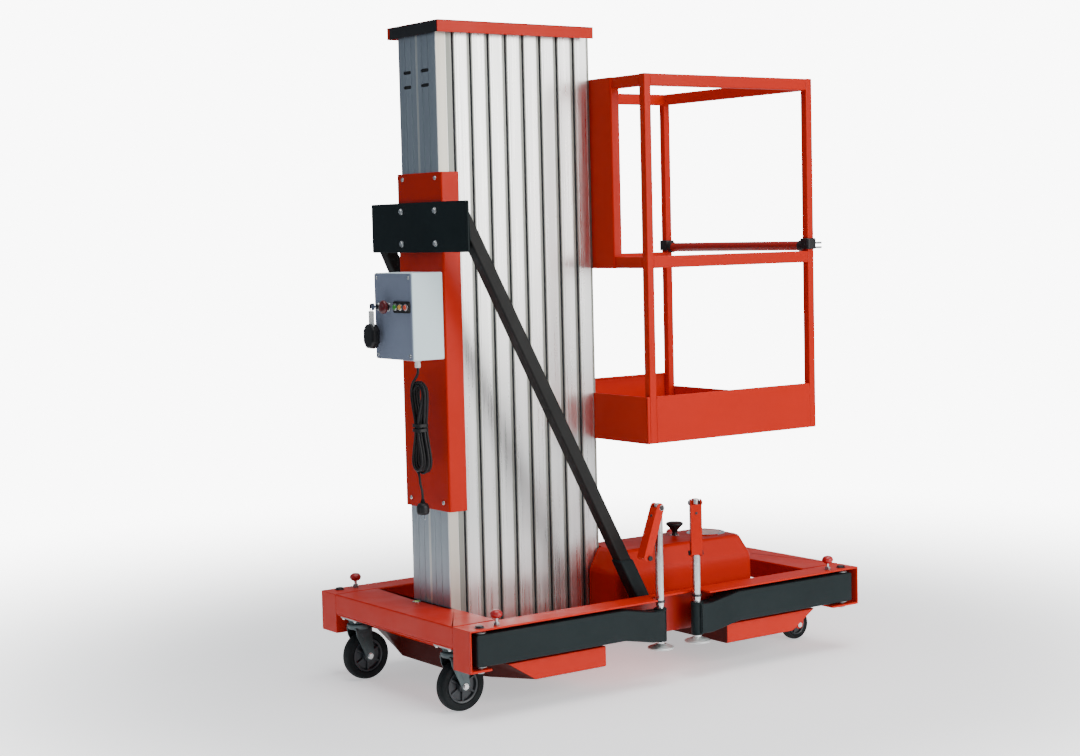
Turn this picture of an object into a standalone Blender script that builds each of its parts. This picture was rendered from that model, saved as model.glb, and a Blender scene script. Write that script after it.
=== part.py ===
"""Push-around vertical lift: a side-by-side nested mast on a wheeled base, with
four swing-out outriggers, screw jacks and a railed work platform.

Metres, +Z up, +X from the mast towards the platform, +Y to the left.
Every X in the tables is measured from the rear end of the base and shifted by
X_MID, so that the model's own origin is the middle of its footprint.
"""
import bpy
import bmesh
import math
from mathutils import Vector, Matrix

for old in list(bpy.data.objects):
    bpy.data.objects.remove(old, do_unlink=True)

# ------------------------------------------------------------------ sizes
X_MID = 0.74575         # base rear end to the middle of the footprint
GAP = 0.0003            # air left between pieces that touch

# base frame
BASE_L = 1.5035
BASE_HALF_W = 0.420
RAIL_TOP = 0.262
RAIL_LOW = 0.140
RAIL_IN = 0.330         # inner face of the side rails
PLATE = 0.005           # folded sheet of rails and end plates
BEAM_LOW = 0.200
BEAM_DEPTH = 0.152
NOTCH = (0.672, 0.876)  # flange cut back where the jacks stand
NOTCH_Y = 0.370
PIVOT_IN = 0.050        # pivot pin from each end of the base
ARM_Y = 0.393
PIN_R = 0.009
PLUNGER_IN = 0.108
FLOOR_Z = (0.1403, 0.1503)

# outrigger arms and jacks
ARM_HALF_W = 0.025
ARM_Z = (0.155, 0.247)
ARM_DROP = 0.020        # how far the free end cranks down
JACK_X = {"rear": 0.702, "front": 0.846}
JACK_R = 0.0125
JACK_TOP = 0.547
PAD_Z = 0.108
PAD_R = 0.040
HANDLE_L = 0.176
HINGE_Z = 0.535

# mast
MAST_X = 0.142
MAST_PITCH = 0.0624
PROFILE_D = 0.0564
MAST_HALF_W = 0.102
MAST_Z = (0.1506, 1.950)
STAGES = 8
CAP = (0.128, 0.690, 0.1385, 1.945, 1.980)   # x0, x1, half width, z0, z1

# rear cover, clamp plate, control box
COVER = (0.1377, 0.199, 0.122, 0.550, 1.545)
CLAMP = (0.1312, 0.1374, 0.265, 1.312, 1.459)
BOX = (0.028, 0.1372, -0.117, 0.089, 1.001, 1.255)

# struts: centre line x(z) = STRUT_X0 + STRUT_DX * (STRUT_Z0 - z)
STRUT_Z = (0.1506, 1.440)
STRUT_TOP_X = 0.1147
STRUT_BOT_X = 0.7470
STRUT_TOP_Y = 0.239
STRUT_BOT_Y = 0.306
STRUT_W = 0.040

# platform basket
BX = (0.690, 1.380)
BY = 0.365
POST = 0.026            # square tube of the posts
POST_SET = 0.012        # rear posts stand this far in from the tray's rear face
RAIL_H = 0.036
TOP_Z = 1.825
MID_Z = 1.284
TOE_Z = (0.7225, 0.864)
FLOOR_B = (0.7265, 0.7365)
BACK_X = (0.6979, 0.7029)   # plate across the front of the last mast stage
BACK_Y = 0.209
SILL_TOP = 0.817
GATE_Z = 1.300

# wheels
REAR_SWIVEL = (0.042, 0.266)
REAR_TRAIL = 0.021
REAR_R = 0.075
FRONT_WHEEL = (1.435, 0.190)
FRONT_R = 0.050


# ------------------------------------------------------------------ materials
def principled(name, rgb, rough, metal=0.0):
    m = bpy.data.materials.new(name)
    m.use_nodes = True
    b = m.node_tree.nodes["Principled BSDF"]
    b.inputs["Base Color"].default_value = (*rgb, 1.0)
    b.inputs["Roughness"].default_value = rough
    b.inputs["Metallic"].default_value = metal
    m.diffuse_color = (*rgb, 1.0)
    return m


RED = ((0.80, 0.055, 0.012), 0.38, 0.0)
SLATE = ((0.035, 0.060, 0.065), 0.45, 0.0)
BLACK = ((0.012, 0.012, 0.013), 0.55, 0.0)
ALU = ((0.80, 0.80, 0.79), 0.32, 1.0)
ZINC = ((0.62, 0.64, 0.64), 0.35, 1.0)
GREY = ((0.60, 0.63, 0.68), 0.45, 0.0)
RUBBER = ((0.015, 0.015, 0.016), 0.75, 0.0)
STEEL = ((0.25, 0.26, 0.27), 0.45, 1.0)


# ------------------------------------------------------------------ builders
def px(x):
    return x - X_MID


def from_bm(name, bm, look):
    bmesh.ops.recalc_face_normals(bm, faces=bm.faces)
    me = bpy.data.meshes.new(name)
    bm.to_mesh(me)
    bm.free()
    ob = bpy.data.objects.new(name, me)
    bpy.context.scene.collection.objects.link(ob)
    if look is not None:
        ob.data.materials.append(principled(name + "_paint", *look))
    return ob


def extrude_poly(name, pts, axis, lo, hi, look=None):
    """A closed prism: pts lie in the plane across axis, in X, Y, Z order."""
    bm = bmesh.new()

    def put(a, b, c):
        return {"x": (c, a, b), "y": (a, c, b), "z": (a, b, c)}[axis]
    low = [bm.verts.new(put(a, b, lo)) for a, b in pts]
    face = bm.faces.new(low)
    out = bmesh.ops.extrude_face_region(bm, geom=[face])
    step = Vector(put(0.0, 0.0, hi - lo))
    bmesh.ops.translate(bm, vec=step, verts=[v for v in out["geom"] if isinstance(v, bmesh.types.BMVert)])
    return from_bm(name, bm, look)


def block(name, x, y, z, look=None):
    return extrude_poly(name, [(px(x[0]), y[0]), (px(x[1]), y[0]), (px(x[1]), y[1]), (px(x[0]), y[1])],
                        "z", z[0], z[1], look)


def rod(name, p, axis, r, length, n=16, look=None, r2=None):
    """A cylinder or cone from p along axis."""
    bm = bmesh.new()
    bmesh.ops.create_cone(bm, cap_ends=True, segments=n, radius1=r, radius2=r if r2 is None else r2, depth=length)
    bmesh.ops.translate(bm, vec=(0, 0, length / 2), verts=bm.verts)
    turn = Vector((0, 0, 1)).rotation_difference(Vector(axis).normalized()).to_matrix().to_4x4()
    bmesh.ops.transform(bm, matrix=Matrix.Translation((px(p[0]), p[1], p[2])) @ turn, verts=bm.verts)
    return from_bm(name, bm, look)


def turned(name, profile, p, axis="z", n=24, look=None):
    """(radius, height) points spun about an axis through p; a section that starts and
    ends at radius 0 closes on the axis, any other is a closed ring."""
    bm = bmesh.new()
    solid = profile[0][0] == 0.0 and profile[-1][0] == 0.0
    row = profile[1:-1] if solid else profile

    def put(r, h, a):
        c, s = r * math.cos(a), r * math.sin(a)
        v = {"z": (c, s, h), "y": (c, h, s)}[axis]
        return bm.verts.new((px(p[0]) + v[0], p[1] + v[1], p[2] + v[2]))
    rings = [[put(r, h, 2 * math.pi * k / n) for r, h in row] for k in range(n)]
    m = len(row)
    for k in range(n):
        a, b = rings[k], rings[(k + 1) % n]
        for j in range(m - 1 if solid else m):
            bm.faces.new([a[j], a[(j + 1) % m], b[(j + 1) % m], b[j]])
    if solid:
        bm.faces.new([r[0] for r in rings])
        bm.faces.new([r[-1] for r in rings])
    return from_bm(name, bm, look)


def boolean(target, op, tools):
    """Join or cut target with each tool in turn, and drop the tools."""
    for t in tools:
        mod = target.modifiers.new("b", "BOOLEAN")
        mod.operation = op
        mod.solver = "EXACT"
        mod.object = t
        bpy.context.view_layer.update()
        dg = bpy.context.evaluated_depsgraph_get()
        me = bpy.data.meshes.new_from_object(target.evaluated_get(dg))
        target.modifiers.remove(mod)
        old = target.data
        mats = [m for m in old.materials]
        target.data = me
        me.materials.clear()
        for m in mats:
            me.materials.append(m)
        for f in me.polygons:
            f.material_index = 0
        bpy.data.objects.remove(t, do_unlink=True)
    return target


def union(target, *tools):
    return boolean(target, "UNION", tools)


def cut(target, *tools):
    return boolean(target, "DIFFERENCE", tools)


def smooth(ob, deg=35):
    ob.data.shade_smooth()
    ob.data.set_sharp_from_angle(angle=math.radians(deg))
    return ob


SIDES = (("right", -1), ("left", 1))
ENDS = (("rear", 0.0, 1), ("front", BASE_L, -1))


def span(s, a, b):
    """a..b mirrored to side s, low value first."""
    return (a, b) if s > 0 else (-b, -a)


# ------------------------------------------------------------------ base frame
def side_rail(side, s):
    """Folded rail: inner strip of the flange over the web."""
    top, low = RAIL_TOP, RAIL_TOP - PLATE
    pts = [(s * RAIL_IN, RAIL_LOW), (s * (RAIL_IN + PLATE), RAIL_LOW), (s * (RAIL_IN + PLATE), low), (s * NOTCH_Y, low),
           (s * NOTCH_Y, top), (s * RAIL_IN, top)]
    return extrude_poly("side_rail_" + side, pts, "x", px(PLATE + GAP), px(BASE_L - PLATE - GAP), RED)


def outrigger_housing(side, s, end, x0, d):
    """Outer strip of the flange up to the jacks' notch, end plate, lug, pivot pin and plunger."""
    xn = NOTCH[0] if end == "rear" else NOTCH[1]
    ob = block("outrigger_housing_%s_%s" % (side, end), sorted((x0, xn)), span(s, NOTCH_Y + GAP, BASE_HALF_W), (RAIL_TOP - PLATE, RAIL_TOP), RED)
    xs = sorted((x0, x0 + d * PLATE))
    adds = [block("a", xs, span(s, RAIL_IN, BASE_HALF_W - 0.0005), (RAIL_LOW, RAIL_TOP - 0.0005))]
    lug = 0.075 if end == "rear" else 0.110
    xs = sorted((x0 + d * 0.002, x0 + d * lug))
    adds.append(block("a", xs, span(s, RAIL_IN + PLATE + GAP, BASE_HALF_W - 0.001), (RAIL_LOW + 0.0005, RAIL_LOW + 0.0065)))
    xp = x0 + d * PIVOT_IN
    adds.append(rod("a", (xp, s * ARM_Y, 0.132), (0, 0, 1), PIN_R, RAIL_TOP - 0.130, 16))
    adds.append(rod("a", (xp, s * ARM_Y, RAIL_TOP - 0.001), (0, 0, 1), 0.013, 0.008, 6))
    adds.append(rod("a", (xp, s * ARM_Y, 0.1325), (0, 0, 1), 0.0135, 0.009, 6))
    xq = x0 + d * PLUNGER_IN
    adds.append(rod("a", (xq, s * ARM_Y, RAIL_TOP - 0.002), (0, 0, 1), 0.0095, 0.012, 6))
    adds.append(rod("a", (xq, s * ARM_Y, RAIL_TOP + 0.005), (0, 0, 1), 0.0045, 0.022, 10))
    adds.append(turned("a", [(0.0, 0.0), (0.006, 0.0), (0.0150, 0.007), (0.0165, 0.014), (0.0110, 0.0245), (0.0, 0.0250)],
                       (xq, s * ARM_Y, RAIL_TOP + 0.020), "z", 14))
    return union(ob, *adds)


for side, s in SIDES:
    side_rail(side, s)
    for end, x0, d in ENDS:
        outrigger_housing(side, s, end, x0, d)


def rear_beam():
    m = MAST_HALF_W + 0.006
    xin = MAST_X - 0.0055
    pts = [(0, -RAIL_IN + GAP), (BEAM_DEPTH, -RAIL_IN + GAP), (BEAM_DEPTH, -m), (xin, -m),
           (xin, m), (BEAM_DEPTH, m), (BEAM_DEPTH, RAIL_IN - GAP), (0, RAIL_IN - GAP)]
    beam = extrude_poly("rear_beam", [(px(a), b) for a, b in pts], "z", BEAM_LOW, RAIL_TOP, RED)
    adds = []
    x, y = REAR_SWIVEL
    for side, s in SIDES:
        adds.append(block("a", (0.001, 0.100), span(s, y - 0.045, y + 0.045), (BEAM_LOW - 0.008, BEAM_LOW + 0.001)))
        adds.append(rod("a", (x, s * y, 0.1735), (0, 0, 1), 0.008, 0.025, 16))
    return union(beam, *adds)


def front_beam():
    x0, x1 = BASE_L - BEAM_DEPTH, BASE_L
    y = RAIL_IN - GAP
    beam = block("front_beam", (x0, x1), (-y, y), (BEAM_LOW, RAIL_TOP), RED)
    adds = []
    x, yw = FRONT_WHEEL
    for side, s in SIDES:
        for k in (-1, 1):
            inner, outer = 0.0225, 0.0265
            ys = sorted((s * yw + k * inner, s * yw + k * outer))
            pts = [(px(x - 0.045), BEAM_LOW + 0.001), (px(x - 0.014), FRONT_R - 0.012), (px(x + 0.014), FRONT_R - 0.012),
                   (px(x + 0.045), BEAM_LOW + 0.001)]
            adds.append(extrude_poly("a", pts, "y", ys[0], ys[1]))
        adds.append(rod("a", (x, s * yw - 0.031, FRONT_R), (0, 1, 0), 0.006, 0.062, 16))
    return union(beam, *adds)


rear_beam()
front_beam()
block("floor_plate", (0.125, 1.3785), (-RAIL_IN + GAP, RAIL_IN - GAP), FLOOR_Z, RED)

# belly trays: plan outlines of the bottom and of the wider top, rear one from the tables, front one mirrored about the base's middle
TRAY_LOW = [(0.125, 0.155), (0.168, 0.262), (0.252, 0.378), (0.508, 0.378)]
TRAY_HIGH = [(0.125, 0.155), (0.1335, 0.262), (0.154, 0.378), (0.508, 0.378)]
for name, mirror, end in (("belly_tray_rear", False, 0.508), ("belly_tray_front", True, 0.975)):
    bm = bmesh.new()
    rings = []
    for table, z in ((TRAY_LOW, 0.080), (TRAY_HIGH, FLOOR_Z[0] - GAP)):
        row = [(px(end if a == 0.508 else (BASE_L - a if mirror else a)), b) for a, b in table]
        rings.append([bm.verts.new((a, b, z)) for a, b in row + [(a, -b) for a, b in reversed(row)]])
    bm.faces.new(rings[0])
    bm.faces.new(rings[1])
    n = len(rings[0])
    for k in range(n):
        j = (k + 1) % n
        bm.faces.new((rings[0][k], rings[0][j], rings[1][j]))
        bm.faces.new((rings[0][k], rings[1][j], rings[1][k]))
    from_bm(name, bm, RED)


# ------------------------------------------------------------------ outriggers
def arm(end, side, s):
    x0, d = (0.0, 1) if end == "rear" else (BASE_L, -1)
    xp, xj = x0 + d * PIVOT_IN, JACK_X[end]
    lo, hi = ARM_Z
    x_a, x_b = xj - d * 0.150, xj - d * 0.045
    x_e = xj + d * 0.004
    xs = xp - d * 0.025
    pts = [(xs, lo), (x_a, lo), (x_b, lo - ARM_DROP), (x_e, lo - ARM_DROP), (x_e, hi - ARM_DROP), (x_b, hi - ARM_DROP),
           (x_a, hi), (xs, hi)]
    ob = extrude_poly("outrigger_arm_%s_%s" % (side, end), [(px(a), b) for a, b in pts], "y",
                      s * ARM_Y - ARM_HALF_W, s * ARM_Y + ARM_HALF_W, SLATE)
    union(ob, rod("a", (xj, s * ARM_Y, lo - ARM_DROP - 0.005), (0, 0, 1), 0.0185, hi - lo + 0.010, 20))
    cut(ob, rod("c", (xp, s * ARM_Y, 0.1), (0, 0, 1), PIN_R + 0.0008, 0.2, 16),
        rod("c", (xj, s * ARM_Y, 0.1), (0, 0, 1), JACK_R + 0.0008, 0.2, 20))
    return ob


def jack(end, side, s):
    x = JACK_X[end]
    ob = turned("jack_screw_%s_%s" % (side, end),
                [(0.0, PAD_Z), (PAD_R, PAD_Z), (PAD_R, PAD_Z + 0.006), (0.019, PAD_Z + 0.013), (JACK_R, PAD_Z + 0.016),
                 (JACK_R, JACK_TOP - 0.003), (JACK_R - 0.002, JACK_TOP), (0.0, JACK_TOP)],
                (x, s * ARM_Y, 0.0), "z", 20, ZINC)
    return smooth(ob, 30)


# folded handles: side, end, turn about the screw (deg), swing out from the screw (deg)
HANDLES = [("right", "rear", 180.0, 20.0), ("right", "front", -120.0, 0.0),
           ("left", "rear", 125.0, 0.0), ("left", "front", 60.0, 0.0)]


def handle(side, end, turn, swing):
    """A U channel hinged on the top of the screw: web outside, open side to the screw."""
    s = -1 if side == "right" else 1
    x, y = JACK_X[end], s * ARM_Y
    wide, deep, t = 0.017, 0.0150, 0.003
    pts = [(-0.010, -wide), (deep + 0.003, -wide), (deep + 0.003, wide), (-0.010, wide), (-0.010, wide - t), (deep, wide - t),
           (deep, -wide + t), (-0.010, -wide + t)]
    ob = extrude_poly("jack_handle_%s_%s" % (side, end), pts, "z", -HANDLE_L + 0.012, 0.012, RED)
    cut(ob, extrude_poly("c", [(deep - 0.004, -wide + t), (deep + 0.02, -wide + t), (deep + 0.02, wide - t), (deep - 0.004, wide - t)],
                         "z", -0.004, 0.03))
    bolt = rod("a", (X_MID, -wide - 0.005, 0.0), (0, 1, 0), 0.0042, 2 * wide + 0.010, 10)
    union(ob, bolt)
    for k in (-1, 1):
        union(ob, rod("a", (X_MID, k * (wide - 0.0005), 0.0), (0, k, 0), 0.0075, 0.0055, 10))
    place = Matrix.Translation((px(x), y, HINGE_Z)) @ Matrix.Rotation(math.radians(turn), 4, "Z") \
        @ Matrix.Rotation(math.radians(-swing), 4, "Y")
    ob.data.transform(place)
    return ob


for side, s in SIDES:
    for end in ("rear", "front"):
        arm(end, side, s)
        jk = jack(end, side, s)
        row = [h for h in HANDLES if h[0] == side and h[1] == end][0]
        cross = Matrix.Rotation(math.radians(row[2]), 3, "Z") @ Vector((0, 1, 0))
        c = Vector((JACK_X[end], s * ARM_Y, HINGE_Z)) - cross * 0.03
        cut(jk, rod("c", c, cross, 0.0046, 0.06, 10))
        handle(*row)

# ------------------------------------------------------------------ wheels
WHEEL = [(0.0065, -0.0225), (0.018, -0.0225), (0.020, -0.012), (0.052, -0.010), (0.056, -0.016), (0.068, -0.018),
         (0.0745, -0.010), (0.075, 0.0)]


def wheel(name, x, y, r, bore, half, hub):
    """Tyre, rim and hub in one turned section, mirrored across the wheel's middle plane."""
    half_row = [(bore, -hub), (0.24 * r, -hub), (0.27 * r, -0.55 * half), (0.68 * r, -0.55 * half), (0.74 * r, -0.9 * half),
                (0.90 * r, -half), (0.985 * r, -0.55 * half), (r, 0.0)]
    row = half_row + [(a, -b) for a, b in reversed(half_row[:-1])]
    return smooth(turned(name, row, (x, y, r), "y", 28, RUBBER), 30)


def fork(side, s):
    x, y = REAR_SWIVEL
    ob = turned("caster_fork_rear_" + side, [(0.0088, 0.161), (0.034, 0.161), (0.038, 0.170), (0.034, 0.1895), (0.0088, 0.1895)],
                (x, s * y, 0.0), "z", 24, STEEL)
    adds = [block("a", (x - 0.028, x + 0.030), (s * y - 0.0300, s * y + 0.0300), (0.160, 0.166))]
    for k in (-1, 1):
        ys = sorted((s * y + k * 0.0260, s * y + k * 0.0300))
        cx, cz = x + REAR_TRAIL, REAR_R
        pts = [(x - 0.028, 0.1655), (x - 0.024, 0.140), (cx - 0.015, cz + 0.002), (cx - 0.010, cz - 0.012), (cx + 0.010, cz - 0.012),
               (cx + 0.015, cz + 0.002), (x + 0.030, 0.140), (x + 0.030, 0.1655)]
        adds.append(extrude_poly("a", [(px(a), b) for a, b in pts], "y", ys[0], ys[1]))
    adds.append(rod("a", (x + REAR_TRAIL, s * y - 0.035, REAR_R), (0, 1, 0), 0.006, 0.070, 16))
    union(ob, *adds)
    cut(ob, rod("c", (x, s * y, 0.15), (0, 0, 1), 0.0088, 0.06, 16))
    return ob


for side, s in SIDES:
    fork(side, s)
    wheel("wheel_rear_" + side, REAR_SWIVEL[0] + REAR_TRAIL, s * REAR_SWIVEL[1], REAR_R, 0.0068, 0.019, 0.0235)
    wheel("wheel_front_" + side, FRONT_WHEEL[0], s * FRONT_WHEEL[1], FRONT_R, 0.0068, 0.0155, 0.0200)


# ------------------------------------------------------------------ mast
def profile(name, x0, z0, z1):
    """Side-by-side box section: small chamfers, and a slot down the rear face."""
    w, d, c, g = MAST_HALF_W, PROFILE_D, 0.003, 0.006
    pts = [(x0, -w + c), (x0 + c, -w), (x0 + d - c, -w), (x0 + d, -w + c), (x0 + d, w - c), (x0 + d - c, w), (x0 + c, w),
           (x0, w - c), (x0, g), (x0 + 0.005, g), (x0 + 0.005, -g), (x0, -g)]
    return extrude_poly(name, [(px(a), b) for a, b in pts], "z", z0, z1, ALU)


profile("mast_profile_fixed", MAST_X, MAST_Z[0], MAST_Z[1])
for k in range(1, STAGES + 1):
    top = MAST_Z[1] if k < STAGES else CAP[4] - 0.0045 - GAP
    profile("mast_stage_%d" % k, MAST_X + MAST_PITCH * k, MAST_Z[0] + 0.0060, top)

cx0, cx1, cw, cz0, cz1 = CAP
cap = block("mast_top_cap", (cx0, cx1), (-cw, cw), (cz1 - 0.0045, cz1), RED)
union(cap, block("a", (cx0, cx0 + 0.003), (-cw, cw), (cz0, cz1 - 0.001)),
      block("a", (cx0 + 0.001, cx1), (-cw, -cw + 0.003), (cz0, cz1 - 0.001)),
      block("a", (cx0 + 0.001, cx1), (cw - 0.003, cw), (cz0, cz1 - 0.001)))

vx0, vx1, vw, vz0, vz1 = COVER
t = 0.004
extrude_poly("mast_rear_cover", [(px(vx0), -vw), (px(vx1), -vw), (px(vx1), -vw + t), (px(vx0 + t), -vw + t),
                                 (px(vx0 + t), vw - t), (px(vx1), vw - t), (px(vx1), vw), (px(vx0), vw)], "z", vz0, vz1, RED)

kx0, kx1, kw, kz0, kz1 = CLAMP
block("clamp_plate", (kx0, kx1), (-kw, kw), (kz0, kz1), SLATE)


def strut(side, s):
    """Sheared square tube from the clamp plate down to the base, with a foot sleeve."""
    z0, z1 = STRUT_Z
    h = STRUT_W / 2
    hx = h * math.hypot(1.0, (STRUT_BOT_X - STRUT_TOP_X) / (z1 - z0))

    def ring(bm, z, gx, gy):
        f = (z1 - z) / (z1 - z0)
        x = STRUT_TOP_X + f * (STRUT_BOT_X - STRUT_TOP_X)
        y = s * (STRUT_TOP_Y + f * (STRUT_BOT_Y - STRUT_TOP_Y))
        return [bm.verts.new((px(x + a * gx), y + b * gy, z)) for a, b in ((-1, -1), (1, -1), (1, 1), (-1, 1))]

    def column(name, za, zb, gx, gy, look):
        bm = bmesh.new()
        lo, hi = ring(bm, za, gx, gy), ring(bm, zb, gx, gy)
        bm.faces.new(lo)
        bm.faces.new(hi)
        for k in range(4):
            bm.faces.new((lo[k], lo[(k + 1) % 4], hi[(k + 1) % 4], hi[k]))
        return from_bm(name, bm, look)
    ob = column("mast_strut_" + side, z0, z1, hx, h, SLATE)
    union(ob, column("a", z0 + 0.0005, 0.372, hx + 0.004, h + 0.0035, None))
    cut(ob, block("c", (0.0, CLAMP[1] + GAP), (-0.5, 0.5), (1.2, 1.6)))
    return ob


for side, s in SIDES:
    strut(side, s)

# ------------------------------------------------------------------ controls
bx0, bx1, by0, by1, bz0, bz1 = BOX
box = block("control_box", (bx0, bx1), (by0, by1), (bz0, bz1), GREY)
GLAND = (0.078, -0.062)
union(box, rod("a", (GLAND[0], GLAND[1], bz0 - 0.006), (0, 0, 1), 0.0125, 0.008, 6),
      rod("a", (GLAND[0], GLAND[1], bz0 - 0.024), (0, 0, 1), 0.0085, 0.020, 14))

# indicator and push-button strip on the rear face: y, radius, height out of the strip
strip = block("button_strip", (bx0 - GAP - 0.003, bx0 - GAP), (-0.112, -0.020), (1.139, 1.173), BLACK)
for y, r, out in ((-0.036, 0.0105, 0.010), (-0.064, 0.0105, 0.010), (-0.094, 0.0105, 0.010)):
    union(strip, rod("a", (bx0 - GAP - 0.002, y, 1.156), (-1, 0, 0), r, out, 16))
smooth(strip, 30)

stop = turned("stop_button", [(0.0, 0.0), (0.014, 0.0), (0.014, 0.012), (0.020, 0.014), (0.020, 0.022), (0.013, 0.029), (0.0, 0.029)],
              (0, 0, 0), "z", 20, ((0.65, 0.02, 0.015), 0.35, 0.0))
stop.data.transform(Matrix.Translation((px(bx0 - GAP), 0.008, 1.156)) @ Matrix.Rotation(-math.pi / 2, 4, "Y")
                    @ Matrix.Translation((X_MID, 0, 0)))
smooth(stop, 30)

# key switch with the key in it and the fob hanging from its ring
ky, kz = 0.062, 1.156
fy, fz, FOB_W = 0.071, kz - 0.087, 0.030
key = rod("key_switch", (bx0 - GAP, ky, kz), (-1, 0, 0), 0.0125, 0.008, 18, BLACK)
union(key, block("a", (bx0 - 0.034, bx0 - 0.006), (ky - 0.0012, ky + 0.0012), (kz - 0.011, kz + 0.011)),
      block("a", (bx0 - 0.0300, bx0 - 0.0270), (ky - 0.0045, ky + 0.0045), (kz - 0.055, kz - 0.004)),
      extrude_poly("a", [(fy - FOB_W, fz - 0.018), (fy - 0.016, fz - 0.036), (fy + 0.016, fz - 0.036), (fy + FOB_W, fz - 0.018),
                         (fy + FOB_W, fz + 0.018), (fy + 0.016, fz + 0.036), (fy - 0.016, fz + 0.036), (fy - FOB_W, fz + 0.018)],
                   "x", px(bx0 - 0.0385), px(bx0 - 0.0100), None))

# ------------------------------------------------------------------ mains lead, hank and plug
CORD_R = 0.004
LEAD = [(GLAND[0], GLAND[1], bz0 - 0.0243), (GLAND[0] + 0.0002, GLAND[1] - 0.0004, 0.967), (GLAND[0] + 0.0010, GLAND[1] - 0.002, 0.957),
        (GLAND[0] + 0.0015, GLAND[1] - 0.003, 0.9478)]
TAIL = [(0.0795, -0.0640, 0.6597), (0.0795, -0.0642, 0.640), (0.0795, -0.0648, 0.620), (0.0795, -0.0655, 0.6030), (0.0795, -0.0660, 0.5903)]


def tube(name, pts, r):
    cu = bpy.data.curves.new(name, "CURVE")
    cu.dimensions = "3D"
    cu.bevel_depth = r
    cu.bevel_resolution = 2
    cu.use_fill_caps = True
    sp = cu.splines.new("POLY")
    fine = []
    n = len(pts)
    for k in range(n - 1):
        p0, p1, p2, p3 = (Vector(pts[max(0, min(n - 1, j))]) for j in (k - 1, k, k + 1, k + 2))
        for q in (0.0, 0.5):
            fine.append(0.5 * ((2 * p1) + (p2 - p0) * q + (2 * p0 - 5 * p1 + 4 * p2 - p3) * q * q
                               + (3 * p1 - p0 - 3 * p2 + p3) * q ** 3))
    fine.append(Vector(pts[-1]))
    sp.points.add(len(fine) - 1)
    for a, b in zip(sp.points, fine):
        a.co = (px(b[0]), b[1], b[2], 1.0)
    ob = bpy.data.objects.new(name, cu)
    bpy.context.scene.collection.objects.link(ob)
    me = bpy.data.meshes.new_from_object(ob)
    bpy.data.objects.remove(ob, do_unlink=True)
    bm = bmesh.new()
    bm.from_mesh(me)
    bmesh.ops.remove_doubles(bm, verts=bm.verts, dist=1e-6)
    return from_bm(name, bm, None)


# outline of the tied hank in the YZ plane: z, half width
HANK = [(0.9474, 0.012), (0.940, 0.024), (0.925, 0.0310), (0.900, 0.0315), (0.850, 0.0260), (0.800, 0.0190), (0.785, 0.0175), (0.765, 0.0175),
        (0.750, 0.0190), (0.720, 0.0270), (0.700, 0.0320), (0.680, 0.0320), (0.667, 0.025), (0.6600, 0.012)]
yc = -0.0650
pts = [(yc + w, z) for z, w in HANK] + [(yc - w, z) for z, w in reversed(HANK)]
hank = extrude_poly("cord_hank", pts, "x", px(0.0620), px(0.0970), RUBBER)
end = LEAD[-1]
union(hank, tube("a", LEAD + [(end[0] + 0.0003, end[1] - 0.0006, end[2] - 0.006)], CORD_R))

plug = rod("cord_plug", (0.0795, -0.0660, 0.5450), (0, 0, 1), 0.0185, 0.030, 18, BLACK)
union(plug, rod("a", (0.0795, -0.0660, 0.574), (0, 0, 1), 0.0180, 0.016, 18, None, 0.0070),
      tube("a", TAIL + [(0.0795, -0.0660, 0.5800)], CORD_R))
for k in (-1, 1):
    union(plug, rod("a", (0.0795, -0.0660 + k * 0.0095, 0.5300), (0, 0, 1), 0.0024, 0.016, 10))

# ------------------------------------------------------------------ power unit and its hood
# hood levels: z, rear x, front x, near y, far y
HOOD = [(0.1506, 0.652, 1.213, -0.250, 0.200), (0.318, 0.654, 1.211, -0.250, 0.200), (0.383, 0.690, 1.184, -0.222, -0.030)]
HOOD_CHAMFER = 0.020


def hood():
    def shell(name, inset, drop, look):
        bm = bmesh.new()
        rings = []
        for i, (z, xa, xb, ya, yb) in enumerate(HOOD):
            zz = z - (0.02 if i == 0 and inset else 0.0) - (drop if i == 2 else 0.0)
            c = HOOD_CHAMFER - inset * 0.4
            xa, xb, ya, yb = xa + inset, xb - inset, ya + inset, yb - inset
            ring = [(xa, ya), (xb - c, ya), (xb, ya + c), (xb, yb - c), (xb - c, yb), (xa, yb)]
            rings.append([bm.verts.new((px(a), b, zz)) for a, b in ring])
        bm.faces.new(rings[0])
        bm.faces.new(rings[-1])
        for a, b in zip(rings, rings[1:]):
            for k in range(6):
                bm.faces.new((a[k], a[(k + 1) % 6], b[(k + 1) % 6], b[k]))
        return from_bm(name, bm, look)
    notch = MAST_HALF_W + 0.006
    away = {"power_unit_hood": [block("c", (0.500, 0.7060 + GAP), (-0.5, 0.5), (0.10, 0.45))],
            "hood_wing_right": [block("c", (0.7060, 1.500), (-0.5, 0.5), (0.10, 0.45)), block("c", (0.500, 0.80), (0.0, 0.5), (0.10, 0.45))],
            "hood_wing_left": [block("c", (0.7060, 1.500), (-0.5, 0.5), (0.10, 0.45)), block("c", (0.500, 0.80), (-0.5, 0.0), (0.10, 0.45))]}
    for name, tools in away.items():
        ob = cut(shell(name, 0.0, 0.0, RED), block("c", (0.600, 0.7060), (-notch, notch), (0.10, 0.45)))
        inside = cut(shell("c", 0.004, 0.003, None), block("c", (0.600, 0.7100), (-notch - 0.004, notch + 0.004), (0.10, 0.45)))
        cut(ob, inside, *tools)


hood()
block("power_unit", (0.760, 1.140), (-0.190, 0.140), (FLOOR_Z[1] + GAP, 0.300), STEEL)
kn = (1.005, -0.100)
knob = turned("hood_knob", [(0.0, 0.3833), (0.0060, 0.3833), (0.0060, 0.396), (0.0090, 0.400), (0.0275, 0.418), (0.0265, 0.426), (0.0, 0.426)],
              (kn[0], kn[1], 0.0), "z", 20, BLACK)
smooth(knob, 30)


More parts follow.
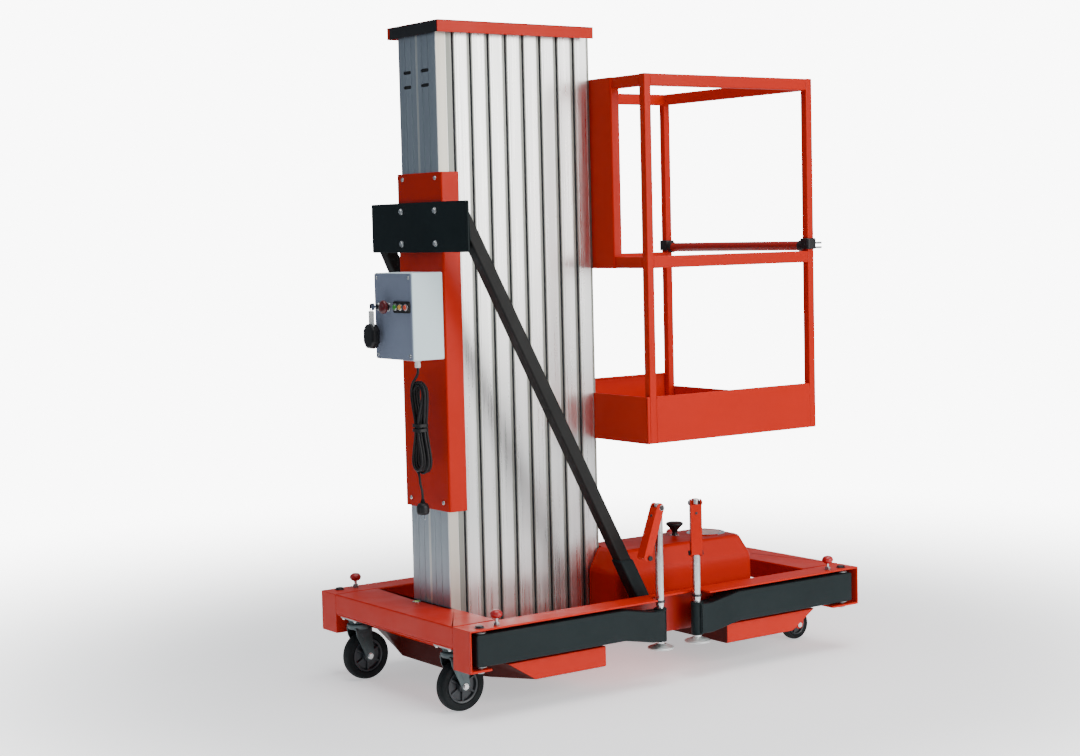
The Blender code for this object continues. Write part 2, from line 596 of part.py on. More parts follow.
# ------------------------------------------------------------------ platform basket
b0, b1 = BX
r0 = b0 + POST_SET
for side, s in SIDES:
    ys = span(s, BY - POST, BY)
    inner = span(s, BY - POST + 0.0005, BY - 0.0005)
    fr = block("platform_frame_" + side, (r0, r0 + POST), ys, (TOE_Z[0], TOP_Z), RED)
    union(fr, block("a", (b1 - POST, b1), ys, (TOE_Z[0], TOP_Z)),
          block("a", (r0 + 0.001, b1 - 0.001), inner, (TOP_Z - RAIL_H, TOP_Z - 0.0005)),
          block("a", (r0 + 0.001, b1 - 0.001), inner, (MID_Z - RAIL_H, MID_Z)),
          block("a", (r0 + 0.0015, r0 + POST - 0.0015), span(s, BACK_Y + GAP, BY - 0.001), (TOP_Z - RAIL_H + 0.0005, TOP_Z - 0.0010)),
          block("a", (r0 + 0.0015, r0 + POST - 0.0015), span(s, BACK_Y + GAP, BY - 0.001), (MID_Z - RAIL_H + 0.0005, MID_Z - 0.0005)))

# plate with folded sides that ties the frames to the last mast stage
back = block("platform_back_plate", BACK_X, (-BACK_Y, BACK_Y), (MID_Z - RAIL_H, TOP_Z - 0.0005), RED)
for side, s in SIDES:
    union(back, block("a", (BACK_X[0] + 0.001, 0.729), span(s, BACK_Y - 0.005, BACK_Y - 0.0005), (MID_Z - RAIL_H + 0.0005, TOP_Z - 0.0010)))

block("platform_front_rail", (b1 - POST, b1), (-BY + POST + GAP, BY - POST - GAP), (TOP_Z - RAIL_H, TOP_Z), RED)

# folded floor tray: upstands on three sides, a lower sill at the entry, cut out for the posts
t, m, q = 0.004, MAST_HALF_W + GAP, POST + GAP
tray = block("platform_floor_tray", (b0, b1), (-BY, BY), (TOE_Z[0], TOE_Z[1]), RED)
cut(tray, block("c", (b0 + t, b1 - t), (-BY + t, BY - t), (FLOOR_B[1], 1.0)),
    block("c", (b1 - 0.02, b1 + 0.01), (-0.5, 0.5), (SILL_TOP, 1.0)),
    block("c", (b0 - 0.01, MAST_X + MAST_PITCH * STAGES + PROFILE_D + GAP), (-m, m), (0.7, 1.0)))
for xs in ((r0 - GAP, r0 + q), (b1 - q, b1 + 0.01)):
    for side, s in SIDES:
        cut(tray, block("c", xs, span(s, BY - q, 0.5), (0.7, 1.0)))

# entry gate bar: a mid rail that lifts, with a sleeve round each front post
zg = (MID_Z + 0.0055, MID_Z + 0.0400)
gate = rod("entry_gate_bar", ((b1 - POST / 2), -BY + POST + 0.004, GATE_Z), (0, 1, 0), 0.015, 2 * (BY - POST - 0.004), 16, RED)
for side, s in SIDES:
    sleeve = block("a", (b1 - POST - 0.007, b1 + 0.007), span(s, BY - POST - 0.007, BY + 0.007), zg)
    cut(sleeve, block("c", (b1 - POST - 0.0015, b1 + 0.0015), span(s, BY - POST - 0.0015, BY + 0.0015), (1.0, 1.5)))
    union(gate, sleeve)
for z in (zg[0] + 0.0045, zg[0] + 0.0190):          # latch pins on the near sleeve
    union(gate, rod("a", (b1 + 0.005, -BY + 0.008, z), (1, 0, 0), 0.0035, 0.036, 10))
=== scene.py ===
"""Looks of a push-around vertical lift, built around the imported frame.

Tables and helpers take X from the rear end of the base, as the part's own source
does; X_MID moves it to the frame's origin, the middle of the footprint.
"""

import bpy
import bmesh
import math
from mathutils import Matrix, Vector

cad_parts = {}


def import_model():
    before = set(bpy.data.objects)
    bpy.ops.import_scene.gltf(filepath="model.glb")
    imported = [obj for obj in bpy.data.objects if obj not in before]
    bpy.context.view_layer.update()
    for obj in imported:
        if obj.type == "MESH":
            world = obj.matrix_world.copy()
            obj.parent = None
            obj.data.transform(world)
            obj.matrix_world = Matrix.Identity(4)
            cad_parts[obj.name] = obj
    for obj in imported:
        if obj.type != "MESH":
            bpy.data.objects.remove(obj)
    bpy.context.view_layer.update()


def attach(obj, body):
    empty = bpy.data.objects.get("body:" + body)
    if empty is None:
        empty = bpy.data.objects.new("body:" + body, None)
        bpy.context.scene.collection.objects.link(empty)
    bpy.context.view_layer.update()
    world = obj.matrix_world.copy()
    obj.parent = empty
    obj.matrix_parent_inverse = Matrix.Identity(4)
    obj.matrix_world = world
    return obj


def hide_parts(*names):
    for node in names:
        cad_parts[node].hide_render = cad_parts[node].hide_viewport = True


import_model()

X_MID = 0.74575
LEFT, RIGHT = 1, -1
SIDES = (("right", RIGHT), ("left", LEFT))


# ------------------------------------------------------------------ camera
def make_camera():
    yaw, pitch, roll = (math.radians(a) for a in (35.5575, 4.3692, -1.3731))
    fwd = Vector((math.sin(yaw) * math.cos(pitch), math.cos(yaw) * math.cos(pitch), -math.sin(pitch)))
    right = Vector((math.cos(yaw), -math.sin(yaw), 0.0))
    up = right.cross(fwd)
    r = math.cos(roll) * right + math.sin(roll) * up
    u = -math.sin(roll) * right + math.cos(roll) * up
    cam = bpy.data.cameras.new("camera")
    cam.sensor_fit = "HORIZONTAL"
    cam.sensor_width = 36.0
    cam.lens = 64.077
    cam.clip_start, cam.clip_end = 0.1, 200.0
    ob = bpy.data.objects.new("camera", cam)
    bpy.context.scene.collection.objects.link(ob)
    m = Matrix.Identity(4)
    for i in range(3):
        m[i][0], m[i][1], m[i][2] = r[i], u[i], -fwd[i]
    m.translation = (-3.63693, -4.82844, 1.36662)
    ob.matrix_world = m
    bpy.context.scene.camera = ob


make_camera()


# ------------------------------------------------------------------ materials
def new_mat(name, rgb, rough, metal=0.0, coat=0.0, spec=0.5):
    m = bpy.data.materials.new(name)
    m.use_nodes = True
    nt = m.node_tree
    b = nt.nodes["Principled BSDF"]
    b.inputs["Base Color"].default_value = (*rgb, 1.0)
    b.inputs["Roughness"].default_value = rough
    b.inputs["Metallic"].default_value = metal
    b.inputs["Coat Weight"].default_value = coat
    b.inputs["Coat Roughness"].default_value = 0.12
    b.inputs["Specular IOR Level"].default_value = spec
    m.diffuse_color = (*rgb, 1.0)
    return m, nt, b


def noise(nt, scale, detail=3.0, stretch=None, rough=0.5, dist=0.0):
    co = nt.nodes.new("ShaderNodeTexCoord")
    n = nt.nodes.new("ShaderNodeTexNoise")
    n.inputs["Scale"].default_value = scale
    n.inputs["Detail"].default_value = detail
    n.inputs["Roughness"].default_value = rough
    n.inputs["Distortion"].default_value = dist
    if stretch is None:
        nt.links.new(co.outputs["Object"], n.inputs["Vector"])
    else:
        mp = nt.nodes.new("ShaderNodeMapping")
        mp.inputs["Scale"].default_value = stretch
        nt.links.new(co.outputs["Object"], mp.inputs["Vector"])
        nt.links.new(mp.outputs["Vector"], n.inputs["Vector"])
    return n.outputs["Fac"]


def to_range(nt, fac, lo, hi, a=0.3, b=0.7):
    r = nt.nodes.new("ShaderNodeMapRange")
    r.inputs["From Min"].default_value, r.inputs["From Max"].default_value = a, b
    r.inputs["To Min"].default_value, r.inputs["To Max"].default_value = lo, hi
    nt.links.new(fac, r.inputs["Value"])
    return r.outputs["Result"]


def tint(nt, fac, c1, c2, a=0.35, b=0.65):
    r = nt.nodes.new("ShaderNodeValToRGB")
    r.color_ramp.elements[0].position, r.color_ramp.elements[1].position = a, b
    r.color_ramp.elements[0].color, r.color_ramp.elements[1].color = (*c1, 1.0), (*c2, 1.0)
    nt.links.new(fac, r.inputs["Fac"])
    return r.outputs["Color"]


def bump(nt, b, pairs):
    """pairs of (height, strength, distance), fine first, chained into the shader's normal."""
    last = None
    for h, strength, dist in pairs:
        n = nt.nodes.new("ShaderNodeBump")
        n.inputs["Strength"].default_value = strength
        n.inputs["Distance"].default_value = dist
        nt.links.new(h, n.inputs["Height"])
        if last is not None:
            nt.links.new(last, n.inputs["Normal"])
        last = n.outputs["Normal"]
    nt.links.new(last, b.inputs["Normal"])


def darker(rgb, k):
    return tuple(c * k for c in rgb)


def paint_edge_highlight(nt, colour, edge, lo=0.56, hi=0.64):
    """Mixes edge, a lighter colour standing for a painted highlight, into colour along convex edges, broken up by a
    noise.
    """
    g = nt.nodes.new("ShaderNodeNewGeometry")
    e = to_range(nt, g.outputs["Pointiness"], 0.0, 1.0, lo, hi)
    k = nt.nodes.new("ShaderNodeMath")
    k.operation = "MULTIPLY"
    nt.links.new(e, k.inputs[0])
    nt.links.new(to_range(nt, noise(nt, 60.0, 4.0), 0.0, 1.0, 0.45, 0.62), k.inputs[1])
    mix = nt.nodes.new("ShaderNodeMix")
    mix.data_type = "RGBA"
    nt.links.new(k.outputs[0], mix.inputs["Factor"])
    nt.links.new(colour, mix.inputs["A"])
    mix.inputs["B"].default_value = (*edge, 1.0)
    return mix.outputs["Result"]


def paint(name, rgb, rough=0.32, coat=0.35, peel=0.05, vary=0.86, edge=None, spec=0.4):
    m, nt, b = new_mat(name, rgb, rough, 0.0, coat, spec)
    col = tint(nt, noise(nt, 3.5, 4.0, None, 0.55), darker(rgb, vary), rgb)
    # painted highlight: convex edges get the lighter edge colour
    if edge is not None:
        col = paint_edge_highlight(nt, col, edge)
    nt.links.new(col, b.inputs["Base Color"])
    nt.links.new(to_range(nt, noise(nt, 9.0, 5.0, None, 0.6), rough - 0.06, rough + 0.10), b.inputs["Roughness"])
    bump(nt, b, [(noise(nt, 420.0, 2.0), peel, 0.0006), (noise(nt, 14.0, 2.0), 0.05, 0.002)])
    return m


def metal(name, rgb, rough, grain=(1.0, 1.0, 1.0), scale=90.0, strength=0.08, spread=0.10, vary=0.9):
    m, nt, b = new_mat(name, rgb, rough, 1.0)
    nt.links.new(tint(nt, noise(nt, scale * 0.25, 3.0, grain), darker(rgb, vary), rgb), b.inputs["Base Color"])
    nt.links.new(to_range(nt, noise(nt, scale, 4.0, grain), rough - spread * 0.5, rough + spread), b.inputs["Roughness"])
    bump(nt, b, [(noise(nt, scale * 2.0, 3.0, grain), strength, 0.0004)])
    return m


def plastic(name, rgb, rough=0.5, scale=500.0, strength=0.12, vary=0.7, coat=0.0, spec=0.35):
    m, nt, b = new_mat(name, rgb, rough, 0.0, coat, spec)
    nt.links.new(tint(nt, noise(nt, 18.0, 4.0), darker(rgb, vary), rgb), b.inputs["Base Color"])
    nt.links.new(to_range(nt, noise(nt, 30.0, 4.0), rough - 0.07, rough + 0.1), b.inputs["Roughness"])
    bump(nt, b, [(noise(nt, scale, 3.0), strength, 0.0005)])
    return m


RED = paint("red_enamel", (0.54, 0.012, 0.0), 0.40, 0.03, 0.04, 0.95, spec=0.18)
RED_SHADE = paint("red_enamel_in_shade", (0.050, 0.0025, 0.0008), 0.50, 0.0, 0.04, 0.9, spec=0.12)
RED_DARKER = paint("red_enamel_darker", (0.30, 0.006, 0.001), 0.36, 0.1, 0.04, 0.92)
# the slate and strut enamels carry a lighter edge colour, a painted highlight along convex edges
SLATE = paint("slate_enamel", (0.0055, 0.0125, 0.0140), 0.52, 0.0, 0.10, 0.85, edge=(0.014, 0.024, 0.026), spec=0.20)
BOXGREY = paint("pale_blue_powder_coat", (0.78, 0.96, 1.0), 0.48, 0.0, 0.20, 0.96)
# painted shade: a darker, bluer copy of the box paint for the box's rear face and its door
BOX_REAR_SHADE = paint("box_powder_coat_painted_shade", (0.26, 0.30, 0.40), 0.46, 0.0, 0.20, 0.90)
STRUT = paint("strut_enamel", (0.0125, 0.0125, 0.0120), 0.50, 0.0, 0.10, 0.85, edge=(0.026, 0.030, 0.030), spec=0.20)
ALU = metal("anodised_aluminium", (0.90, 0.90, 0.89), 0.30, (1.0, 1.0, 0.012), 260.0, 0.10, 0.10, 0.93)
# painted light on the mast: a pale strip over the rear slot is a painted highlight; the darker rear faces and seam
# flanks are painted shade
ALU_SLOT_HIGHLIGHT = metal("aluminium_slot_painted_highlight", (0.74, 0.75, 0.72), 0.42, (1.0, 1.0, 0.012), 200.0, 0.05)
ALU_REAR_SHADE = metal("anodised_aluminium_rear_painted_shade", (0.46, 0.51, 0.55), 0.42, (1.0, 1.0, 0.012), 160.0, 0.06, 0.08, 0.93)
ALU_CREAM = metal("aluminium_fixed_profile", (0.60, 0.57, 0.50), 0.45, (1.0, 1.0, 0.012), 160.0, 0.06, 0.06, 0.93)
ALU_SHADE = metal("aluminium_flank_painted_shade", (0.26, 0.27, 0.245), 0.45, (1.0, 1.0, 0.012), 160.0, 0.06, 0.08, 0.90)
ZINC = metal("bright_zinc", (0.74, 0.76, 0.76), 0.24, (1.0, 1.0, 0.25), 140.0, 0.10, 0.14, 0.82)
ZINC_DULL = metal("dull_zinc", (0.42, 0.44, 0.44), 0.40, (1.0, 1.0, 1.0), 80.0, 0.10, 0.14, 0.7)
YOKE = metal("yoke_steel", (0.10, 0.125, 0.13), 0.46, (1.0, 1.0, 1.0), 80.0, 0.10, 0.12, 0.75)
PAD = metal("pad_zinc", (0.66, 0.69, 0.68), 0.55, (1.0, 1.0, 1.0), 80.0, 0.08, 0.08, 0.9)
CHROME = metal("polished_steel", (0.80, 0.82, 0.85), 0.08, (1.0, 1.0, 1.0), 60.0, 0.02, 0.05, 0.95)
DARK_STEEL = metal("dark_steel", (0.10, 0.10, 0.105), 0.38, (1.0, 1.0, 1.0), 80.0, 0.12, 0.16, 0.6)
BLACK = plastic("black_moulding", (0.012, 0.012, 0.013), 0.42, 600.0, 0.10)
RUBBER = plastic("tyre_rubber", (0.010, 0.0135, 0.015), 0.72, 260.0, 0.25, 0.6, spec=0.2)
RIM = plastic("wheel_rim_plastic", (0.028, 0.034, 0.040), 0.36, 300.0, 0.08, 0.7, 0.2)
CABLE = plastic("cable_jacket", (0.014, 0.014, 0.015), 0.50, 900.0, 0.10, 0.7)
STOP = plastic("stop_button_red", (0.12, 0.006, 0.008), 0.28, 300.0, 0.03, 0.85, 0.5)
KNOB_RED = plastic("knob_red", (0.42, 0.008, 0.010), 0.30, 300.0, 0.04, 0.8, 0.4)
GREEN = plastic("lens_green", (0.03, 0.30, 0.02), 0.20, 300.0, 0.02, 0.8, 0.5)
AMBER = plastic("lens_amber", (0.75, 0.38, 0.05), 0.22, 300.0, 0.02, 0.85, 0.5)
SIGNAL = plastic("lens_red", (0.72, 0.07, 0.03), 0.22, 300.0, 0.02, 0.85, 0.5)
PALE = plastic("pale_nylon", (0.80, 0.80, 0.76), 0.40, 300.0, 0.04, 0.93)
LEVEL = plastic("level_vial", (0.52, 0.75, 0.12), 0.12, 200.0, 0.02, 0.85, 0.8)
UNIT = paint("unit_black_enamel", (0.03, 0.03, 0.033), 0.4, 0.1)


# ------------------------------------------------------------------ shapes
def fillet(pts, radius, seg=4):
    """Rounds the corners of a closed outline; radius is one number or one per corner."""
    out = []
    n = len(pts)
    for k, p in enumerate(pts):
        r = radius[k] if isinstance(radius, (list, tuple)) else radius
        p = Vector(p)
        a, b = Vector(pts[k - 1]) - p, Vector(pts[(k + 1) % n]) - p
        if r <= 0.0:
            out.append(tuple(p))
            continue
        half = a.angle(b) / 2
        if half > math.radians(88):
            out.append(tuple(p))
            continue
        t = min(r / math.tan(half), 0.48 * a.length, 0.48 * b.length)
        s, e = p + a.normalized() * t, p + b.normalized() * t
        rr = t * math.tan(half)
        c = p + (a.normalized() + b.normalized()).normalized() * (rr / math.sin(half))
        a0 = math.atan2(s.y - c.y, s.x - c.x)
        a1 = math.atan2(e.y - c.y, e.x - c.x)
        d = (a1 - a0 + math.pi) % (2 * math.pi) - math.pi
        for j in range(seg + 1):
            q = a0 + d * j / seg
            out.append((c.x + rr * math.cos(q), c.y + rr * math.sin(q)))
    return out


def inset(pts, d):
    """Moves a closed outline inwards by d."""
    n = len(pts)
    area = sum(pts[k - 1][0] * pts[k][1] - pts[k][0] * pts[k - 1][1] for k in range(n))
    s = 1.0 if area > 0 else -1.0
    out = []
    for k in range(n):
        p0, p1, p2 = Vector(pts[k - 1]), Vector(pts[k]), Vector(pts[(k + 1) % n])
        e1, e2 = (p1 - p0), (p2 - p1)
        if e1.length < 1e-9 or e2.length < 1e-9:
            out.append(tuple(p1))
            continue
        e1.normalize(), e2.normalize()
        n1, n2 = Vector((-e1.y, e1.x)) * s, Vector((-e2.y, e2.x)) * s
        m = (n1 + n2) / max(0.25, 1.0 + n1.dot(n2))
        out.append(tuple(p1 + m * d))
    return out


AXES = {"z": lambda a, b, c: (a, b, c), "y": lambda a, b, c: (a, c, b), "x": lambda a, b, c: (c, a, b)}


def skin(rings, cap_lo=True, cap_hi=True, closed=False):
    """A mesh through rings of equal count; closed joins the last ring to the first."""
    bm = bmesh.new()
    vs = [[bm.verts.new(p) for p in r] for r in rings]
    n = len(rings[0])
    pairs = list(zip(vs, vs[1:])) + ([(vs[-1], vs[0])] if closed else [])
    for a, b in pairs:
        for k in range(n):
            bm.faces.new((a[k], a[(k + 1) % n], b[(k + 1) % n], b[k]))
    if not closed:
        if cap_lo:
            bm.faces.new(vs[0])
        if cap_hi:
            bm.faces.new(vs[-1])
    bmesh.ops.recalc_face_normals(bm, faces=bm.faces)
    return bm


def prism(pts, axis, lo, hi, bev=0.0012, seg=3):
    """An extruded outline with rounded end edges."""
    put = AXES[axis]
    bev = min(bev, (hi - lo) * 0.45)
    rings = []
    steps = [math.pi / 2 * j / seg for j in range(seg + 1)]
    for q in steps:
        o = inset(pts, bev * (1 - math.sin(q)))
        rings.append([put(a, b, lo + bev * (1 - math.cos(q))) for a, b in o])
    for q in reversed(steps):
        o = inset(pts, bev * (1 - math.sin(q)))
        rings.append([put(a, b, hi - bev * (1 - math.cos(q))) for a, b in o])
    return skin(rings)


def box(x, y, z, r=0.002, bev=0.0012, axis="z", seg=3):
    x, y, z = sorted(x), sorted(y), sorted(z)
    pair = {"z": (x, y, z), "y": (x, z, y), "x": (y, z, x)}[axis]
    (a0, a1), (b0, b1), (c0, c1) = pair
    return prism(fillet([(a0, b0), (a1, b0), (a1, b1), (a0, b1)], r, seg), axis, c0, c1, bev, seg)


def lathe(profile, p, axis=(0, 0, 1), n=32):
    """(radius, height) points spun about axis through p; radius 0 ends close on the axis."""
    turn = Vector((0, 0, 1)).rotation_difference(Vector(axis).normalized())
    bm = bmesh.new()

    def put(r, h, k):
        v = Vector((r * math.cos(2 * math.pi * k / n), r * math.sin(2 * math.pi * k / n), h))
        return bm.verts.new(turn @ v + Vector(p))
    cols = []
    for r, h in profile:
        cols.append([put(0.0, h, 0)] if r <= 0.0 else [put(r, h, k) for k in range(n)])
    ring = profile[0][0] > 0.0 and profile[-1][0] > 0.0
    pairs = list(zip(cols, cols[1:])) + ([(cols[-1], cols[0])] if ring else [])
    for a, b in pairs:
        for k in range(n):
            j = (k + 1) % n
            if len(a) == 1:
                bm.faces.new((a[0], b[j], b[k]))
            elif len(b) == 1:
                bm.faces.new((a[k], a[j], b[0]))
            else:
                bm.faces.new((a[k], a[j], b[j], b[k]))
    bmesh.ops.recalc_face_normals(bm, faces=bm.faces)
    return bm


def rounded(profile, r, seg=4):
    """Rounds the inner corners of an open profile that starts and ends on the axis."""
    out = [profile[0]]
    for k in range(1, len(profile) - 1):
        p, a, b = Vector(profile[k]), Vector(profile[k - 1]), Vector(profile[k + 1])
        da, db = a - p, b - p
        t = min(r, 0.45 * da.length, 0.45 * db.length)
        s, e = p + da.normalized() * t, p + db.normalized() * t
        for j in range(seg + 1):
            q = j / seg
            v = s * (1 - q) ** 2 + p * 2 * q * (1 - q) + e * q * q
            out.append((v.x, v.y))
    out.append(profile[-1])
    return out


def sweep(points, r, n=10, closed=False):
    """A round tube along points."""
    pts = [Vector(p) for p in points]
    m = len(pts)
    rings, side = [], None
    for k in range(m):
        a = pts[k - 1] if (k > 0 or closed) else pts[k]
        b = pts[(k + 1) % m] if (k < m - 1 or closed) else pts[k]
        t = (b - a).normalized()
        if side is None:
            side = t.orthogonal().normalized()
        side = (side - t * side.dot(t)).normalized()
        up = t.cross(side)
        rings.append([tuple(pts[k] + (side * math.cos(2 * math.pi * j / n) + up * math.sin(2 * math.pi * j / n)) * r)
                      for j in range(n)])
    return skin(rings, closed=closed)


def hexagon(p, axis, r, h, turn=0.0):
    """A hexagonal head with its corners chamfered by a domed top."""
    rot = Vector((0, 0, 1)).rotation_difference(Vector(axis).normalized())
    rings = []
    for rr, hh in ((0.97, 0.0), (1.0, 0.04), (1.0, 0.72), (0.90, 0.94), (0.70, 1.0)):
        rings.append([tuple(rot @ Vector((r * rr * math.cos(turn + math.pi / 3 * k), r * rr * math.sin(turn + math.pi / 3 * k), h * hh))
                            + Vector(p)) for k in range(6)])
    return skin(rings)


def washer(p, axis, r_in, r_out, t):
    return lathe([(r_in, 0.0), (r_out - t * 0.3, 0.0), (r_out, t * 0.3), (r_out, t * 0.7), (r_out - t * 0.3, t), (r_in, t)], p, axis, 24)


def bead(points, r=0.0018, closed=True):
    """A weld bead: a thin tube along an outline with a slight ripple."""
    pts = [Vector(p) for p in points]
    fine = []
    m = len(pts)
    for k in range(m if closed else m - 1):
        a, b = pts[k], pts[(k + 1) % m]
        count = max(1, int((b - a).length / 0.0045))
        fine += [a.lerp(b, j / count) for j in range(count)]
    rings, n = [], 6
    side = None
    m = len(fine)
    for k in range(m):
        t = (fine[(k + 1) % m] - fine[k - 1]).normalized() if closed or 0 < k < m - 1 else (
            (fine[1] - fine[0]) if k == 0 else (fine[-1] - fine[-2])).normalized()
        if side is None:
            side = t.orthogonal().normalized()
        side = (side - t * side.dot(t)).normalized()
        up = t.cross(side)
        rr = r * (1.0 + 0.16 * math.sin(k * 2.1))
        rings.append([tuple(fine[k] + (side * math.cos(2 * math.pi * j / n) + up * math.sin(2 * math.pi * j / n)) * rr) for j in range(n)])
    return skin(rings, closed=closed)


class Part:
    """Collects shapes, each with one of the part's materials, into one piece."""

    def __init__(self, name, mats):
        self.name, self.mats, self.bm = name, mats, bmesh.new()

    def add(self, bm, mat=None, m=None):
        me = bpy.data.meshes.new("t")
        if m is not None:
            bmesh.ops.transform(bm, matrix=m, verts=bm.verts)
        if mat is not None and mat not in self.mats:
            self.mats.append(mat)
        idx = 0 if mat is None else self.mats.index(mat)
        for f in bm.faces:
            f.material_index = idx
        bm.to_mesh(me)
        bm.free()
        self.bm.from_mesh(me)
        bpy.data.meshes.remove(me)
        return self

    def bolt(self, p, axis, r=0.0065, h=0.005, mat=None, turn=0.3, wash=True):
        axis = Vector(axis).normalized()
        base = Vector(p)
        if wash:
            self.add(washer(p, axis, r * 0.3, r * 1.35, 0.0014), mat)
            base = base + axis * 0.0013
        self.add(hexagon(tuple(base), axis, r, h, turn), mat)

    def done(self, body, slot, replaces=(), sharp=38, weighted=True):
        me = bpy.data.meshes.new(self.name)
        bmesh.ops.translate(self.bm, vec=(-X_MID, 0, 0), verts=self.bm.verts)
        self.bm.to_mesh(me)
        self.bm.free()
        ob = bpy.data.objects.new(self.name, me)
        bpy.context.scene.collection.objects.link(ob)
        for mt in self.mats:
            me.materials.append(mt)
        me.shade_smooth()
        me.set_sharp_from_angle(angle=math.radians(sharp))
        if weighted:
            w = ob.modifiers.new("weighted", "WEIGHTED_NORMAL")
            w.keep_sharp = True
        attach(ob, body)
        if replaces:
            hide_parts(*replaces)
        return ob


def carve(bm, *cutters):
    """bm minus each cutter, as a new bmesh."""
    me = bpy.data.meshes.new("t")
    bm.to_mesh(me)
    bm.free()
    ob = bpy.data.objects.new("carve_body", me)
    bpy.context.scene.collection.objects.link(ob)
    for c in cutters:
        cm = bpy.data.meshes.new("c")
        c.to_mesh(cm)
        c.free()
        co = bpy.data.objects.new("carve_tool", cm)
        bpy.context.scene.collection.objects.link(co)
        mod = ob.modifiers.new("b", "BOOLEAN")
        mod.operation, mod.solver, mod.object = "DIFFERENCE", "EXACT", co
        bpy.context.view_layer.update()
        new = bpy.data.meshes.new_from_object(ob.evaluated_get(bpy.context.evaluated_depsgraph_get()))
        ob.modifiers.remove(mod)
        ob.data = new
        bpy.data.objects.remove(co, do_unlink=True)
    out = bmesh.new()
    out.from_mesh(ob.data)
    bpy.data.objects.remove(ob, do_unlink=True)
    return out


def span(s, a, b):
    return (a, b) if s > 0 else (-b, -a)


def flip(pts, s):
    """An outline of (x, y) mirrored to side s, kept in order."""
    return [(a, s * b) for a, b in pts]


# ------------------------------------------------------------------ mains lead
CORD_R = 0.004
GLAND = (0.078, -0.062)
BOX_LOW = 1.001
LEAD = [(GLAND[0], GLAND[1], BOX_LOW - 0.0243), (GLAND[0] + 0.0002, GLAND[1] - 0.0004, 0.967),
        (GLAND[0] + 0.0010, GLAND[1] - 0.002, 0.957), (GLAND[0] + 0.0015, GLAND[1] - 0.003, 0.9478)]
TAIL = [(0.0795, -0.0640, 0.6597), (0.0795, -0.0642, 0.640), (0.0795, -0.0648, 0.620), (0.0795, -0.0655, 0.6030), (0.0795, -0.0660, 0.5903)]
HANK_Y = -0.0650
LAYERS = (0.0668, 0.0752, 0.0836, 0.0920)


def ease(t):
    t = min(1.0, max(0.0, t))
    return 2 * t * t if t < 0.5 else 1 - 2 * (1 - t) ** 2


def hank_route():
    """Gland, inner turns from the first layer to the last, outer turns back to the second, then down to the plug.
    Each turn is a narrow-waisted loop across the machine; the turns lie one behind the other and one round the other."""
    top, low, inner, outer, waist = 0.901, 0.7005, 0.0248, 0.0334, 0.0060

    def half(z, r):
        f = (z - low) / (top - low)
        return waist + r - inner + (inner - waist) * (0.5 + 0.5 * math.cos(2 * math.pi * min(1.0, max(0.0, f))))

    def down(x, r, first=0):
        return [(x, HANK_Y + half(top - (top - low) * j / 12, r), top - (top - low) * j / 12) for j in range(first, 13)]

    def bottom(x, r0, r1):
        m, c = (r0 + r1) / 2, (r0 - r1) / 2
        return [(x, HANK_Y + c + m * math.cos(math.pi * j / 8), low - m * math.sin(math.pi * j / 8)) for j in range(1, 8)]

    def up_and_over(x, to, r):
        row = [(x + (to - x) * ease((j - 5) / 7 * 0.72), HANK_Y - half(low + (top - low) * j / 12, r), low + (top - low) * j / 12) for j in range(13)]
        return row + [(x + (to - x) * ease(0.72 + 0.28 * j / 4), HANK_Y - r * math.cos(math.pi * j / 8), top + r * math.sin(math.pi * j / 8)) for j in range(1, 8)]
    pts = [LEAD[0], LEAD[1]]
    x0, y0 = LEAD[1][0], LEAD[1][1]
    for j in range(1, 9):                               # from the gland out to the first run
        z = 0.967 - 0.00825 * j
        pts.append((x0 + (LAYERS[0] - x0) * ease((0.969 - z) / 0.041), y0 + (HANK_Y + inner - y0) * ease((0.966 - z) / 0.064), z))
    for k in range(3):
        pts += down(LAYERS[k], inner, 1 if k == 0 else 0) + bottom(LAYERS[k], inner, inner) + up_and_over(LAYERS[k], LAYERS[k + 1], inner)
    pts += down(LAYERS[3], inner) + bottom(LAYERS[3], inner, outer) + up_and_over(LAYERS[3], LAYERS[2], outer)
    pts += down(LAYERS[2], outer) + bottom(LAYERS[2], outer, outer) + up_and_over(LAYERS[2], LAYERS[1], outer)
    pts += down(LAYERS[1], outer)
    turn, back = math.radians(58), 0.0275               # round the last turn's foot and back to plumb
    for j in range(1, 5):
        a = turn * j / 4
        pts.append((LAYERS[1], HANK_Y + outer * math.cos(a), low - outer * math.sin(a)))
    cy, cz = HANK_Y + (outer + back) * math.cos(turn), low - (outer + back) * math.sin(turn)
    for j in range(1, 5):
        a = turn * (1 - j / 4)
        pts.append((LAYERS[1], cy - back * math.cos(a), cz + back * math.sin(a)))
    x0, y0, z0 = pts[-1]
    for j in range(1, 4):
        f = j / 4
        pts.append((x0 + (TAIL[3][0] - x0) * ease(f), y0 + (TAIL[3][1] - y0) * ease(f), z0 + (TAIL[3][2] - z0) * f))
    pts += TAIL[3:]
    return pts


def smooth_line(pts, per):
    out = []
    n = len(pts)
    for k in range(n - 1):
        p0, p1, p2, p3 = (Vector(pts[max(0, min(n - 1, j))]) for j in (k - 1, k, k + 1, k + 2))
        for i in range(per):
            q = i / per
            out.append(0.5 * ((2 * p1) + (p2 - p0) * q + (2 * p0 - 5 * p1 + 4 * p2 - p3) * q * q
                              + (3 * p1 - p0 - 3 * p2 + p3) * q ** 3))
    out.append(Vector(pts[-1]))
    return out


